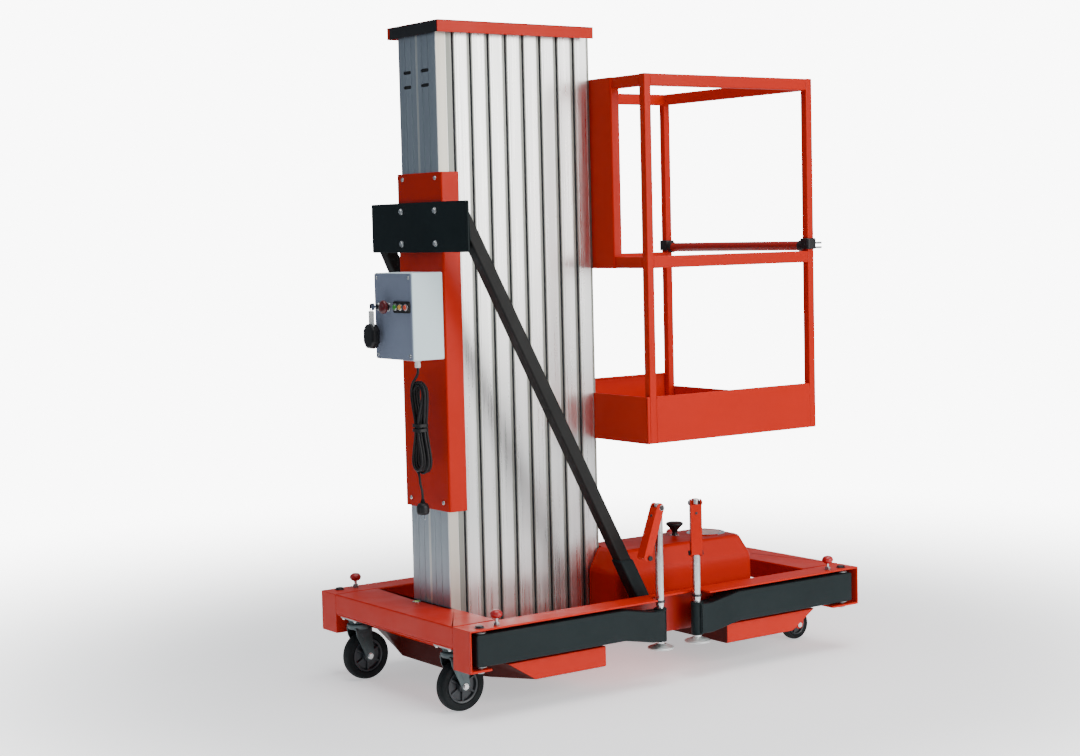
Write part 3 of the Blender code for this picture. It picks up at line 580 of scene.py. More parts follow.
def make_cord():
    line = smooth_line(hank_route(), 4)
    cu = bpy.data.curves.new("mains_lead", "CURVE")
    cu.dimensions = "3D"
    cu.bevel_depth = CORD_R
    cu.bevel_resolution = 3
    cu.use_fill_caps = True
    sp = cu.splines.new("POLY")
    sp.points.add(len(line) - 1)
    for p, v in zip(sp.points, line):
        p.co = (v.x - X_MID, v.y, v.z, 1.0)
    sp.use_smooth = True
    ob = bpy.data.objects.new("mains_lead", cu)
    bpy.context.scene.collection.objects.link(ob)
    cu.materials.append(CABLE)
    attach(ob, "chassis")
    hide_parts("cord_hank")
    length = sum((b - a).length for a, b in zip(line, line[1:]))
    print("cord length", round(length, 4))
    return ob, length


cord, made = make_cord()

tie = Part("lead_tie", [BLACK])
for z, w, d in ((0.808, 0.0192, 0.0190), (0.794, 0.0192, 0.0190)):
    tie.add(skin([[(0.0794 + (d + e) * c[0], HANK_Y + (w + e) * c[1], zz) for c in
                   [(math.copysign(abs(math.cos(t)) ** 0.6, math.cos(t)), math.copysign(abs(math.sin(t)) ** 0.6, math.sin(t)))
                    for t in [2 * math.pi * k / 24 for k in range(24)]]]
                  for e, zz in ((0.0, z - 0.005), (0.0014, z - 0.0045), (0.0014, z + 0.0045), (0.0, z + 0.005))], closed=False))
tie = tie.done("chassis", "black_plastic")

plug = Part("plug_on_lead", [BLACK, CHROME, RUBBER])
PX, PY = 0.0795, -0.0660
plug.add(lathe(rounded([(0.0, 0.5452), (0.0160, 0.5452), (0.0183, 0.550), (0.0183, 0.5700), (0.0140, 0.5770), (0.0075, 0.5800), (0.0, 0.5800)], 0.003), (PX, PY, 0)), BLACK)
for k in range(5):
    plug.add(lathe(rounded([(0.0, 0.0), (0.0072 - k * 0.0004, 0.0), (0.0072 - k * 0.0004, 0.0016), (0.0, 0.0016)], 0.0006), (PX, PY, 0.5795 + k * 0.0021), n=20), RUBBER)
for k in range(10):
    a = 2 * math.pi * k / 10
    plug.add(box((PX + 0.0178 * math.cos(a) - 0.0010, PX + 0.0178 * math.cos(a) + 0.0010), (PY + 0.0178 * math.sin(a) - 0.0010, PY + 0.0178 * math.sin(a) + 0.0010),
                 (0.552, 0.568), 0.0004, 0.0004), BLACK)
for k in (-1, 1):
    plug.add(lathe(rounded([(0.0, 0.5302), (0.0023, 0.5302), (0.0023, 0.5460), (0.0, 0.5460)], 0.0010), (PX, PY + k * 0.0095, 0), n=16), CHROME)
plug = plug.done("chassis", "black_plastic", ["cord_plug"])

# ------------------------------------------------------------------ base frame
BASE_L, HALF_W, RAIL_IN = 1.5035, 0.420, 0.330
RAIL_TOP, RAIL_LOW, PLATE = 0.262, 0.140, 0.005
NOTCH, NOTCH_Y, ARM_Y = (0.672, 0.876), 0.370, 0.393
ENDS = (("rear", 0.0, 1), ("front", BASE_L, -1))
BEAM_LOW, BEAM_DEPTH = 0.200, 0.152


def side_rail(side, s):
    p = Part("side_rail_plates_" + side, [RED, RED_DARKER, ZINC_DULL, DARK_STEEL, KNOB_RED])
    sec = [(s * RAIL_IN, RAIL_TOP), (s * HALF_W, RAIL_TOP), (s * HALF_W, RAIL_TOP - PLATE), (s * (RAIL_IN + PLATE), RAIL_TOP - PLATE),
           (s * (RAIL_IN + PLATE), RAIL_LOW), (s * RAIL_IN, RAIL_LOW)]
    sec = fillet(sec, [0.007, 0.0018, 0.0010, 0.0035, 0.0010, 0.0010], 4)
    rail = prism(sec, "x", 0.0004, BASE_L - 0.0004, 0.0008, 2)
    cutter = prism(fillet([(NOTCH[0], s * NOTCH_Y), (NOTCH[1], s * NOTCH_Y), (NOTCH[1], s * 0.5), (NOTCH[0], s * 0.5)], [0.006, 0.006, 0, 0], 4),
                   "z", RAIL_TOP - 0.05, RAIL_TOP + 0.05, 0.0001, 1)
    p.add(carve(rail, cutter), RED)
    for f in p.bm.faces:                                # painted shade: the web behind the arms, under the flange, gets the darker red
        c = f.calc_center_median()
        if abs(c.y) < RAIL_IN + 0.008 and s * f.normal.y > 0.7 and c.z < RAIL_TOP - 0.006:
            f.material_index = 1
    for end, x0, d in ENDS:
        yz = fillet([(s * (RAIL_IN + 0.0008), RAIL_LOW), (s * HALF_W, RAIL_LOW), (s * HALF_W, RAIL_TOP - 0.0012), (s * (RAIL_IN + 0.0008), RAIL_TOP - 0.0012)],
                    [0.001, 0.005, 0.004, 0.001], 4)
        xs = sorted((x0, x0 + d * PLATE))
        p.add(prism(yz, "x", xs[0], xs[1], 0.0012, 3), RED)
        lug = 0.075 if end == "rear" else 0.110
        xs = sorted((x0 + d * 0.002, x0 + d * lug))
        p.add(box(xs, span(s, RAIL_IN + 0.002, HALF_W - 0.001), (RAIL_LOW + 0.0005, RAIL_LOW + 0.0065), 0.006, 0.001), RED)
        # weld runs where the end plate meets the flange and the lug
        xw = x0 + d * (PLATE + 0.0008)
        p.add(bead([(xw, s * (RAIL_IN + 0.008), RAIL_TOP - PLATE - 0.0008), (xw, s * (HALF_W - 0.004), RAIL_TOP - PLATE - 0.0008)], 0.0016, False), RED)
        p.add(bead([(xw, s * (RAIL_IN + 0.008), RAIL_LOW + 0.0072), (xw, s * (HALF_W - 0.006), RAIL_LOW + 0.0072)], 0.0016, False), RED)
        xp = x0 + d * 0.050
        c = (xp, s * ARM_Y, 0.0)
        p.add(lathe(rounded([(0.0, 0.1325), (0.0088, 0.1325), (0.0088, 0.2640), (0.0, 0.2640)], 0.001), c, n=24), ZINC_DULL)
        p.add(washer((xp, s * ARM_Y, RAIL_TOP + 0.0001), (0, 0, 1), 0.007, 0.0150, 0.0016), DARK_STEEL)
        p.add(hexagon((xp, s * ARM_Y, RAIL_TOP + 0.0015), (0, 0, 1), 0.0122, 0.0052, 0.2), DARK_STEEL)
        p.add(hexagon((xp, s * ARM_Y, RAIL_LOW + 0.0004), (0, 0, -1), 0.0125, 0.0070, 0.5), ZINC_DULL)
        xq = x0 + d * 0.108
        p.add(hexagon((xq, s * ARM_Y, RAIL_TOP + 0.0002), (0, 0, 1), 0.0090, 0.0095, 0.0), ZINC_DULL)
        p.add(lathe([(0.0, 0.0), (0.0045, 0.0), (0.0045, 0.014), (0.0, 0.014)], (xq, s * ARM_Y, RAIL_TOP + 0.008), n=16), ZINC)
        ball = [(0.0, 0.0), (0.0058, 0.0)] + [(0.0178 * math.cos(t), 0.0125 + 0.0127 * math.sin(t)) for t in
                                              [math.radians(a) for a in range(-66, 85, 10)]] + [(0.0, 0.0252)]
        p.add(lathe(ball, (xq, s * ARM_Y, RAIL_TOP + 0.0198), n=24), KNOB_RED)
    return p.done("chassis", "red_paint", ["side_rail_" + side, "outrigger_housing_%s_rear" % side, "outrigger_housing_%s_front" % side])


for side, s in SIDES:
    side_rail(side, s)


def beams():
    m = 0.108
    xin = 0.142 - 0.0055
    y = RAIL_IN - 0.0003
    p = Part("rear_cross_beam", [RED, ZINC, ZINC_DULL, LEVEL, DARK_STEEL])
    outline = fillet([(0, -y), (BEAM_DEPTH, -y), (BEAM_DEPTH, -m), (xin, -m), (xin, m), (BEAM_DEPTH, m), (BEAM_DEPTH, y), (0, y)],
                     [0.001, 0.001, 0.004, 0.002, 0.002, 0.004, 0.001, 0.001], 3)
    p.add(prism(outline, "z", BEAM_LOW, RAIL_TOP, 0.0045, 5), RED)
    # folded return along the lower edge
    p.add(box((0.0006, 0.020), (-y + 0.004, y - 0.004), (BEAM_LOW - 0.004, BEAM_LOW + 0.001), 0.001, 0.001), RED)
    for side, s in SIDES:
        x, yw = 0.042, 0.266
        p.add(box((0.001, 0.100), span(s, yw - 0.045, yw + 0.045), (BEAM_LOW - 0.008, BEAM_LOW - 0.0005), 0.008, 0.001), ZINC_DULL)
        p.add(lathe([(0.0, 0.1740), (0.0070, 0.1740), (0.0080, 0.1750), (0.0080, 0.1960), (0.0, 0.1960)], (x, s * yw, 0), n=20), ZINC)
        for dx in (-0.032, 0.048):
            for dy in (-0.034, 0.034):
                p.bolt((x + dx, s * yw + dy, BEAM_LOW - 0.008), (0, 0, -1), 0.0060, 0.0045, ZINC)
    p.add(lathe(rounded([(0.0, 0.0), (0.0125, 0.0), (0.0125, 0.0035), (0.0, 0.0035)], 0.001), (0.121, 0.052, RAIL_TOP - 0.0008)), ZINC)
    p.add(lathe([(0.0, 0.0), (0.0098, 0.0), (0.0092, 0.0016), (0.0060, 0.0027), (0.0, 0.0031)], (0.121, 0.052, RAIL_TOP + 0.0018)), LEVEL)
    p.done("chassis", "red_paint", ["rear_beam"])

    p = Part("front_cross_beam", [RED, ZINC, ZINC_DULL])
    x0 = BASE_L - BEAM_DEPTH
    p.add(box((x0, BASE_L), (-y, y), (BEAM_LOW, RAIL_TOP), 0.001, 0.0045, seg=5), RED)
    p.add(box((BASE_L - 0.020, BASE_L - 0.0006), (-y + 0.004, y - 0.004), (BEAM_LOW - 0.004, BEAM_LOW + 0.001), 0.001, 0.001), RED)
    for side, s in SIDES:
        xw, yw, r = 1.435, 0.190, 0.050
        for k in (-1, 1):
            ys = sorted((s * yw + k * 0.0225, s * yw + k * 0.0265))
            pts = fillet([(xw - 0.045, BEAM_LOW + 0.001), (xw - 0.014, r - 0.012), (xw + 0.014, r - 0.012), (xw + 0.045, BEAM_LOW + 0.001)],
                         [0.0, 0.012, 0.012, 0.0], 5)
            p.add(prism(pts, "y", ys[0], ys[1], 0.0008, 2), RED)
        p.add(lathe([(0.0, -0.030), (0.0060, -0.030), (0.0060, 0.030), (0.0, 0.030)], (xw, s * yw, r), (0, 1, 0), 20), ZINC)
        for k in (-1, 1):
            p.add(hexagon((xw, s * yw + k * 0.0265, r), (0, k, 0), 0.0095, 0.0042, 0.4), ZINC)
    p.done("chassis", "red_paint", ["front_beam"])

    p = Part("base_floor", [RED])
    p.add(box((0.125, 1.3785), (-y, y), (0.1403, 0.1503), 0.002, 0.0015), RED)
    p.done("chassis", "red_paint", ["floor_plate"])

    low = [(0.125, 0.155), (0.168, 0.262), (0.252, 0.378), (0.508, 0.378)]
    high = [(0.125, 0.155), (0.1335, 0.262), (0.154, 0.378), (0.508, 0.378)]
    for name, mirror, end in (("rear", False, 0.508), ("front", True, 0.975)):
        def plan(f):
            row = [(end if a == 0.508 else (BASE_L - (a + (c - a) * f) if mirror else a + (c - a) * f), b) for (a, b), (c, _) in zip(low, high)]
            return row + [(a, -b) for a, b in reversed(row)]
        rings = []
        for z, d in ((0.0800, 0.0042), (0.0806, 0.0022), (0.0820, 0.0008), (0.0845, 0.0001), (0.1392, 0.0001), (0.1400, 0.0008)):
            rings.append([(a, b, z) for a, b in inset(fillet(plan((z - 0.080) / 0.060), 0.005, 3), d)])
        p = Part("belly_tray_skin_" + name, [RED, RED_SHADE, ZINC])
        p.add(skin(rings), RED)
        p.bm.normal_update()
        for f in p.bm.faces:                            # undersides and the slopes facing the rear
            if f.normal.z < -0.6 or f.normal.x < -0.25:
                f.material_index = 1
        for a, b in low[1:3]:
            for sg in (-1, 1):
                cx = BASE_L - a - 0.03 if mirror else a + 0.03
                p.bolt((cx, sg * (b - 0.035), 0.0812), (0, 0, -1), 0.0055, 0.001, ZINC, wash=False)
        p.done("chassis", "red_paint", ["belly_tray_" + name])


beams()


# ------------------------------------------------------------------ outriggers
ARM_Z, DROP, HALF_ARM = (0.155, 0.247), 0.020, 0.025
JACK_X = {"rear": 0.702, "front": 0.846}
JACK_R, JACK_TOP, PAD_Z, PAD_R = 0.0125, 0.547, 0.108, 0.040
HINGE_Z, HANDLE_L = 0.535, 0.176


def outrigger(side, s, end):
    x0, d = (0.0, 1) if end == "rear" else (BASE_L, -1)
    xp, xj = x0 + d * 0.050, JACK_X[end]
    lo, hi = ARM_Z
    xa, xb, xe, xs = xj - d * 0.150, xj - d * 0.045, xj + d * 0.004, xp - d * 0.025
    p = Part("outrigger_tube_%s_%s" % (side, end), [SLATE, BLACK, ZINC_DULL])
    pts = [(xs, lo), (xa, lo), (xb, lo - DROP), (xe, lo - DROP), (xe, hi - DROP), (xb, hi - DROP), (xa, hi), (xs, hi)]
    if d < 0:
        pts = pts[::-1]
        rr = [0.006, 0.045, 0.045, 0.002, 0.002, 0.045, 0.045, 0.006]
    else:
        rr = [0.006, 0.045, 0.045, 0.002, 0.002, 0.045, 0.045, 0.006]
    p.add(prism(fillet(pts, rr, 6), "y", s * ARM_Y - HALF_ARM, s * ARM_Y + HALF_ARM, 0.0042, 5), SLATE)
    # black plate inside the pivot end of the tube: painted shade for its dark open end
    xo = sorted((xs - d * 0.0004, xs + d * 0.0020))
    p.add(box(xo, (s * ARM_Y - HALF_ARM + 0.004, s * ARM_Y + HALF_ARM - 0.004), (lo + 0.004, hi - 0.004), 0.004, 0.0003, "x", 2), BLACK)
    sl = lathe([(JACK_R + 0.0008, lo - DROP - 0.0045), (0.0175, lo - DROP - 0.0045), (0.0185, lo - DROP - 0.0035), (0.0185, hi - DROP + 0.0038),
                (0.0175, hi - DROP + 0.0048), (JACK_R + 0.0008, hi - DROP + 0.0048)], (xj, s * ARM_Y, 0), n=40)
    p.add(sl, SLATE)
    ring = [(xj + 0.0192 * math.cos(t), s * ARM_Y + 0.0192 * math.sin(t), hi - DROP + 0.0004) for t in [2 * math.pi * k / 26 for k in range(26)]]
    p.add(bead(ring, 0.0014), SLATE)
    for z in (lo - 0.0002, hi + 0.0002):
        k = -1 if z < 0.2 else 1
        p.add(washer((xp, s * ARM_Y, z), (0, 0, k), 0.0100, 0.0190, 0.0045), ZINC_DULL)
    p.done("outrigger_%s_%s" % (side, end), "slate_paint", ["outrigger_arm_%s_%s" % (side, end)])


def jack(side, s, end):
    x, y = JACK_X[end], s * ARM_Y
    p = Part("jack_rod_%s_%s" % (side, end), [ZINC, CHROME, DARK_STEEL, PAD])
    foot = rounded([(0.0, PAD_Z), (PAD_R, PAD_Z), (PAD_R, PAD_Z + 0.0058), (0.0300, PAD_Z + 0.0092), (0.0190, PAD_Z + 0.0130), (0.0165, PAD_Z + 0.0155), (0.0, PAD_Z + 0.0155)], 0.0022)
    p.add(lathe(foot, (x, y, 0), n=48), PAD)
    rod = [(0.0, PAD_Z + 0.012), (JACK_R - 0.0004, PAD_Z + 0.012)]
    z = PAD_Z + 0.020
    while z < 0.236:                                   # fine thread below the sleeve's top
        rod += [(JACK_R, z), (JACK_R, z + 0.0016), (JACK_R - 0.0009, z + 0.0024), (JACK_R - 0.0009, z + 0.0036)]
        z += 0.0046
    rod += [(JACK_R - 0.0001, 0.2400), (JACK_R - 0.0001, JACK_TOP - 0.0040), (JACK_R - 0.0012, JACK_TOP - 0.0012), (JACK_R - 0.0030, JACK_TOP), (0.0, JACK_TOP)]
    p.add(lathe(rod, (x, y, 0), n=36), ZINC)
    p.add(lathe(rounded([(0.0, 0.0), (0.0150, 0.0), (0.0150, 0.0070), (0.0, 0.0070)], 0.0015), (x, y, 0.2480), n=36), DARK_STEEL)
    p.done("jack_%s_%s" % (side, end), "zinc_steel", ["jack_screw_%s_%s" % (side, end)], sharp=50)


HANDLES = [("right", "rear", 180.0, 20.0), ("right", "front", -120.0, 0.0), ("left", "rear", 125.0, 0.0), ("left", "front", 60.0, 0.0)]


def handle(side, s, end, turn, swing):
    p = Part("jack_crank_%s_%s" % (side, end), [RED, DARK_STEEL, ZINC, BLACK])
    wide, deep, t = 0.017, 0.0150, 0.0028
    lo, hi, xa, xb = -HANDLE_L + 0.012, 0.012, -0.0100, deep + 0.003
    # cheeks with rounded ears at the hinge and a rounded nose at the free end, and the web between them
    cheek = fillet([(xa, lo), (xb, lo), (xb, hi), (xa, hi)], [0.009, 0.009, 0.013, 0.013], 6)
    for k in (-1, 1):
        p.add(prism(cheek, "y", *sorted((k * (wide - t), k * wide)), 0.0009, 3), RED)
    p.add(box((xb - t, xb), (-wide + 0.0006, wide - 0.0006), (lo + 0.006, -0.004), 0.0014, 0.0009, "z", 3), RED)
    for k in (-1, 1):
        p.add(washer((0.0, k * (wide - 0.0002), 0.0), (0, k, 0), 0.0040, 0.0085, 0.0010), ZINC)
        p.add(hexagon((0.0, k * (wide + 0.0006), 0.0), (0, k, 0), 0.0074, 0.0042, 0.3), DARK_STEEL)
    p.add(lathe([(0.0, -wide), (0.0042, -wide), (0.0042, wide), (0.0, wide)], (0, 0, 0), (0, 1, 0), 16), DARK_STEEL)
    # pressed stiffening groove and the stop pin in the channel's web
    p.add(lathe(rounded([(0.0, 0.0), (0.0045, 0.0), (0.0040, 0.0016), (0.0, 0.0020)], 0.0006), (deep + 0.0028, 0.0, -0.030), (1, 0, 0), 20), DARK_STEEL)
    p.add(lathe([(0.0, -wide - 0.0006), (0.0040, -wide - 0.0006), (0.0040, wide + 0.0006), (0.0, wide + 0.0006)], (-0.0035, 0.0, lo + 0.0100), (0, 1, 0), 16), ZINC)
    for k in (-1, 1):
        p.add(lathe(rounded([(0.0, 0.0), (0.0078, 0.0), (0.0078, 0.0056), (0.0, 0.0062)], 0.0016), (-0.0035, k * wide, lo + 0.0100), (0, k, 0), 18), BLACK)
    place = Matrix.Translation((JACK_X[end], s * ARM_Y, HINGE_Z)) @ Matrix.Rotation(math.radians(turn), 4, "Z") @ Matrix.Rotation(math.radians(-swing), 4, "Y")
    bmesh.ops.transform(p.bm, matrix=place, verts=p.bm.verts)
    p.done("jack_%s_%s" % (side, end), "red_paint", ["jack_handle_%s_%s" % (side, end)])


for side, s in SIDES:
    for end in ("rear", "front"):
        outrigger(side, s, end)
        jack(side, s, end)
        row = [h for h in HANDLES if h[0] == side and h[1] == end][0]
        handle(side, s, end, row[2], row[3])


# ------------------------------------------------------------------ wheels
def tyre_profile(r, half, bead_r):
    """Outer half of a tyre's section, mirrored: shoulder, rounded tread, sidewall."""
    out = [(bead_r, -half * 0.62), (bead_r + 0.004, -half * 0.86), (r * 0.86, -half * 0.99), (r * 0.93, -half * 0.93), (r * 0.978, -half * 0.66),
           (r * 0.992, -half * 0.36), (r * 0.998, -half * 0.13)]
    return out + [(a, -b) for a, b in reversed(out)]


def wheel(name, node, body, x, y, r, half, hub_half, spokes):
    p = Part(name, [RUBBER, RIM, ZINC, DARK_STEEL])
    br = r * 0.66
    p.add(lathe(tyre_profile(r, half, br), (x, y, r), (0, 1, 0), 72), RUBBER)
    rim = [(r * 0.22, -half * 0.35), (r * 0.56, -half * 0.35), (r * 0.60, -half * 0.80), (r * 0.665, -half * 0.86), (r * 0.685, -half * 0.70), (r * 0.67, 0.0)]
    rim = rim + [(a, -b) for a, b in reversed(rim[:-1])]
    p.add(lathe(rim, (x, y, r), (0, 1, 0), 56), RIM)
    hub = [(0.0067, -hub_half), (r * 0.19, -hub_half), (r * 0.215, -hub_half + 0.0015), (r * 0.25, -half * 0.5), (r * 0.25, half * 0.5), (r * 0.215, hub_half - 0.0015), (r * 0.19, hub_half), (0.0067, hub_half)]
    p.add(lathe(hub, (x, y, r), (0, 1, 0), 40), RIM)
    for k in range(spokes):
        a = 2 * math.pi * (k + 0.5) / spokes
        rib = box((r * 0.22, r * 0.60), (-half * 0.70, half * 0.70), (-0.0026, 0.0026), 0.001, 0.0008)
        p.add(rib, RIM, Matrix.Translation((x, y, r)) @ Matrix.Rotation(a, 4, "Y"))
    for k in (-1, 1):
        p.add(lathe([(0.0070, 0.0), (r * 0.165, 0.0), (r * 0.160, 0.0008), (0.0070, 0.0008)], (x, y + k * (hub_half - 0.0003), r), (0, k, 0), 28), ZINC)
    p.done(body, "wheel_rubber", [node], sharp=32)


def caster(side, s):
    x, y = 0.042, s * 0.266
    p = Part("caster_yoke_" + side, [YOKE, ZINC_DULL, ZINC])
    race = [(0.0088, 0.1612), (0.0330, 0.1612), (0.0350, 0.1650), (0.0375, 0.1700), (0.0365, 0.1760), (0.0300, 0.1800), (0.0300, 0.1830), (0.0340, 0.1860), (0.0340, 0.1893), (0.0088, 0.1893)]
    p.add(lathe(race, (x, y, 0), n=48), YOKE)
    cx, cz = x + 0.021, 0.075
    p.add(box((x - 0.028, x + 0.030), (y - 0.0298, y + 0.0298), (0.1602, 0.1650), 0.006, 0.001), YOKE)
    for k in (-1, 1):
        ys = sorted((y + k * 0.0262, y + k * 0.0298))
        pts = fillet([(x - 0.028, 0.1650), (x - 0.024, 0.140), (cx - 0.015, cz + 0.002), (cx - 0.010, cz - 0.012), (cx + 0.010, cz - 0.012),
                      (cx + 0.015, cz + 0.002), (x + 0.030, 0.140), (x + 0.030, 0.1650)], [0.001, 0.020, 0.02, 0.008, 0.008, 0.02, 0.020, 0.001], 5)
        p.add(prism(pts, "y", ys[0], ys[1], 0.0009, 3), YOKE)
        # pressed rib down the leg
        p.add(prism(fillet([(x - 0.010, 0.150), (cx - 0.0045, cz + 0.016), (cx + 0.0045, cz + 0.016), (x + 0.014, 0.150)], 0.003, 3), "y",
                    *sorted((y + k * 0.0290, y + k * 0.0306)), 0.0009, 2), YOKE)
        p.add(washer((cx, y + k * 0.0299, cz), (0, k, 0), 0.0040, 0.0100, 0.0012), ZINC)
        p.add(hexagon((cx, y + k * 0.0311, cz), (0, k, 0), 0.0088, 0.0037, 0.2), ZINC)
    p.add(lathe([(0.0, -0.0345), (0.0060, -0.0345), (0.0060, 0.0345), (0.0, 0.0345)], (cx, y, cz), (0, 1, 0), 20), ZINC)
    p.done("caster_rear_" + side, "fork_steel", ["caster_fork_rear_" + side])


for side, s in SIDES:
    caster(side, s)
    wheel("rear_wheel_assembly_" + side, "wheel_rear_" + side, "rear_wheel_" + side, 0.063, s * 0.266, 0.075, 0.019, 0.0235, 6)
    wheel("front_wheel_assembly_" + side, "wheel_front_" + side, "front_wheel_" + side, 1.435, s * 0.190, 0.050, 0.0155, 0.0200, 5)


# ------------------------------------------------------------------ mast
MAST_X, PITCH, PROF_D, MAST_W = 0.142, 0.0624, 0.0564, 0.102
STAGES = 8
MAST_Z = (0.1506, 1.950)
CAP = (0.128, 0.690, 0.1385, 1.945, 1.980)


def profile_outline(x0):
    """Box extrusion with small edge radii, two fine grooves on each side face and a slot down the rear face."""
    w, d = MAST_W, PROF_D
    right = [(x0 + 0.0008, -w + 0.0012), (x0 + 0.0026, -w + 0.0001)]
    for gx in (0.0105, d - 0.0105):
        right += [(x0 + gx - 0.0011, -w + 0.0001), (x0 + gx - 0.0006, -w + 0.0012), (x0 + gx + 0.0006, -w + 0.0012), (x0 + gx + 0.0011, -w + 0.0001)]
    right += [(x0 + d - 0.0026, -w + 0.0001), (x0 + d - 0.0008, -w + 0.0012), (x0 + d, -w + 0.0030)]
    left = [(a, -b) for a, b in reversed(right)]
    rear = []
    for y in (0.062, 0.030):
        rear += [(x0, y + 0.0022), (x0 + 0.0016, y + 0.0014), (x0 + 0.0016, y - 0.0014), (x0, y - 0.0022)]
    rear += [(x0, 0.0064), (x0 + 0.0006, 0.0058), (x0 + 0.0050, 0.0056), (x0 + 0.0050, -0.0056), (x0 + 0.0006, -0.0058), (x0, -0.0064)]
    for y in (-0.030, -0.062):
        rear += [(x0, y + 0.0022), (x0 + 0.0016, y + 0.0014), (x0 + 0.0016, y - 0.0014), (x0, y - 0.0022)]
    return right + left + [(x0, w - 0.0030)] + rear + [(x0, -w + 0.0030)]


def mast_profile(k):
    x0 = MAST_X + PITCH * k
    z0 = MAST_Z[0] + (0.0060 if k else 0.0)
    z1 = MAST_Z[1] if k < STAGES else CAP[4] - 0.0048
    name = "mast_profile_fixed" if k == 0 else "mast_stage_%d" % k
    p = Part("mast_extrusion_%d" % k, [ALU, ALU_SLOT_HIGHLIGHT, BLACK, ALU_REAR_SHADE, ALU_SHADE, ALU_CREAM])
    body = prism(profile_outline(x0), "z", z0, z1, 0.0004, 1)
    if k == 0:
        tools = []
        # black plates at the bottom of the rear slots: painted shade for the dark hollow behind them
        for y in (0.053, -0.042):
            for z in (1.842, 1.799):
                tools.append(prism(fillet([(y - 0.0205, z - 0.0052), (y + 0.0205, z - 0.0052), (y + 0.0205, z + 0.0052), (y - 0.0205, z + 0.0052)], 0.0050, 5),
                                   "x", x0 - 0.01, x0 + 0.004, 0.0001, 1))
                p.add(prism(fillet([(y - 0.0200, z - 0.0048), (y + 0.0200, z - 0.0048), (y + 0.0200, z + 0.0048), (y - 0.0200, z + 0.0048)], 0.0046, 5),
                            "x", x0 + 0.0030, x0 + 0.0042, 0.0001, 1), BLACK)
        body = carve(body, *tools)
    p.add(body, ALU)
    p.bm.normal_update()
    # painted shade: the rear faces take a darker, bluer copy of the aluminium
    rear = p.mats.index(ALU_REAR_SHADE)
    for f in p.bm.faces:
        c = f.calc_center_median()
        if c.x < x0 + 0.0056 and abs(c.y) < MAST_W - 0.0008 and f.material_index == 0:
            f.material_index = rear
    # a painted highlight over the rear slot, painted shade on the flanks of the side faces beside the seams, and black
    # tops as painted shade where the hollow ends are seen from above
    p.add(box((x0 + 0.0004, x0 + 0.0056), (-0.0080, 0.0080), (z0 + 0.002, z1 - 0.002), 0.0010, 0.0004), ALU_SLOT_HIGHLIGHT)
    for s in (-1, 1):
        seam = x0 + PROF_D - (0.0200 if k == 0 else 0.0085)
        p.add(box((seam, x0 + PROF_D - 0.0006), span(s, MAST_W - 0.0012, MAST_W + 0.0001), (z0 + 0.001, z1 - 0.001), 0.0002, 0.0001), ALU_SHADE)
        if k == 0:
            p.add(box((x0 + 0.0030, seam - 0.0010), span(s, MAST_W - 0.0012, MAST_W + 0.0001), (z0 + 0.001, z1 - 0.001), 0.0002, 0.0001), ALU_CREAM)
        else:
            p.add(box((x0 + 0.0006, x0 + 0.0050), span(s, MAST_W - 0.0012, MAST_W + 0.0001), (z0 + 0.001, z1 - 0.001), 0.0002, 0.0001), ALU_SHADE)
    if k < STAGES:
        for ya, yb in ((-0.094, -0.012), (0.012, 0.094)):
            p.add(box((x0 + 0.009, x0 + PROF_D - 0.007), (ya, yb), (z1 - 0.0010, z1 + 0.0001), 0.004, 0.0003), BLACK)
    body_name = "chassis" if k == 0 else "stage_%d" % k
    p.done(body_name, "mast_aluminium", [name], sharp=28)


for k in range(STAGES + 1):
    mast_profile(k)

cx0, cx1, cw, cz0, cz1 = CAP
p = Part("top_cap_folded", [RED, ZINC])
p.add(box((cx0, cx1), (-cw, cw), (cz1 - 0.0045, cz1), 0.002, 0.0016), RED)
# black rear lip and rear edge of the top plate: painted shade for the cap's dark open rear; the lip's far end stays red
p.add(box((cx0 + 0.0006, cx0 + 0.003), (-cw + 0.0035, cw - 0.0135), (cz0, cz1 - 0.0035), 0.0006, 0.0006), BLACK)
p.add(box((cx0, cx0 + 0.003), (cw - 0.0140, cw - 0.0005), (cz0, cz1 - 0.001), 0.001, 0.001), RED)
p.add(box((cx0, cx0 + 0.003), (-cw + 0.0005, cw - 0.0005), (cz1 - 0.0045, cz1 - 0.0006), 0.001, 0.001), BLACK)
for s in (-1, 1):
    p.add(box((cx0 + 0.0005, cx1), span(s, cw - 0.003, cw), (cz0, cz1 - 0.001), 0.001, 0.001), RED)
for x in (MAST_X + PITCH * 8 + 0.015, MAST_X + PITCH * 8 + 0.042):
    for y in (-0.07, 0.07):
        p.add(lathe([(0.0, 0.0), (0.0072, 0.0), (0.0070, 0.0002), (0.0, 0.0002)], (x, y, cz1 - 0.00025), n=24), ZINC)
p.done("stage_8", "red_paint", ["mast_top_cap"])

COVER = (0.1377, 0.199, 0.122, 0.550, 1.545)
vx0, vx1, vw, vz0, vz1 = COVER
t = 0.004
p = Part("rear_cover_folded", [RED, ZINC, DARK_STEEL])
pts = [(vx0, -vw), (vx1, -vw), (vx1, -vw + t), (vx0 + t, -vw + t), (vx0 + t, vw - t), (vx1, vw - t), (vx1, vw), (vx0, vw)]
p.add(prism(fillet(pts, [0.006, 0.0012, 0.0012, 0.0022, 0.0022, 0.0012, 0.0012, 0.006], 5), "z", vz0, vz1, 0.0010, 2), RED)
for y in (-0.089, 0.089):
    for z in (1.528, 0.575):
        p.add(lathe(rounded([(0.0, 0.0), (0.0068, 0.0), (0.0060, 0.0030), (0.0, 0.0042)], 0.001), (vx0 + 0.0004, y, z), (-1, 0, 0), 24), ZINC)
p.done("chassis", "red_paint", ["mast_rear_cover"])

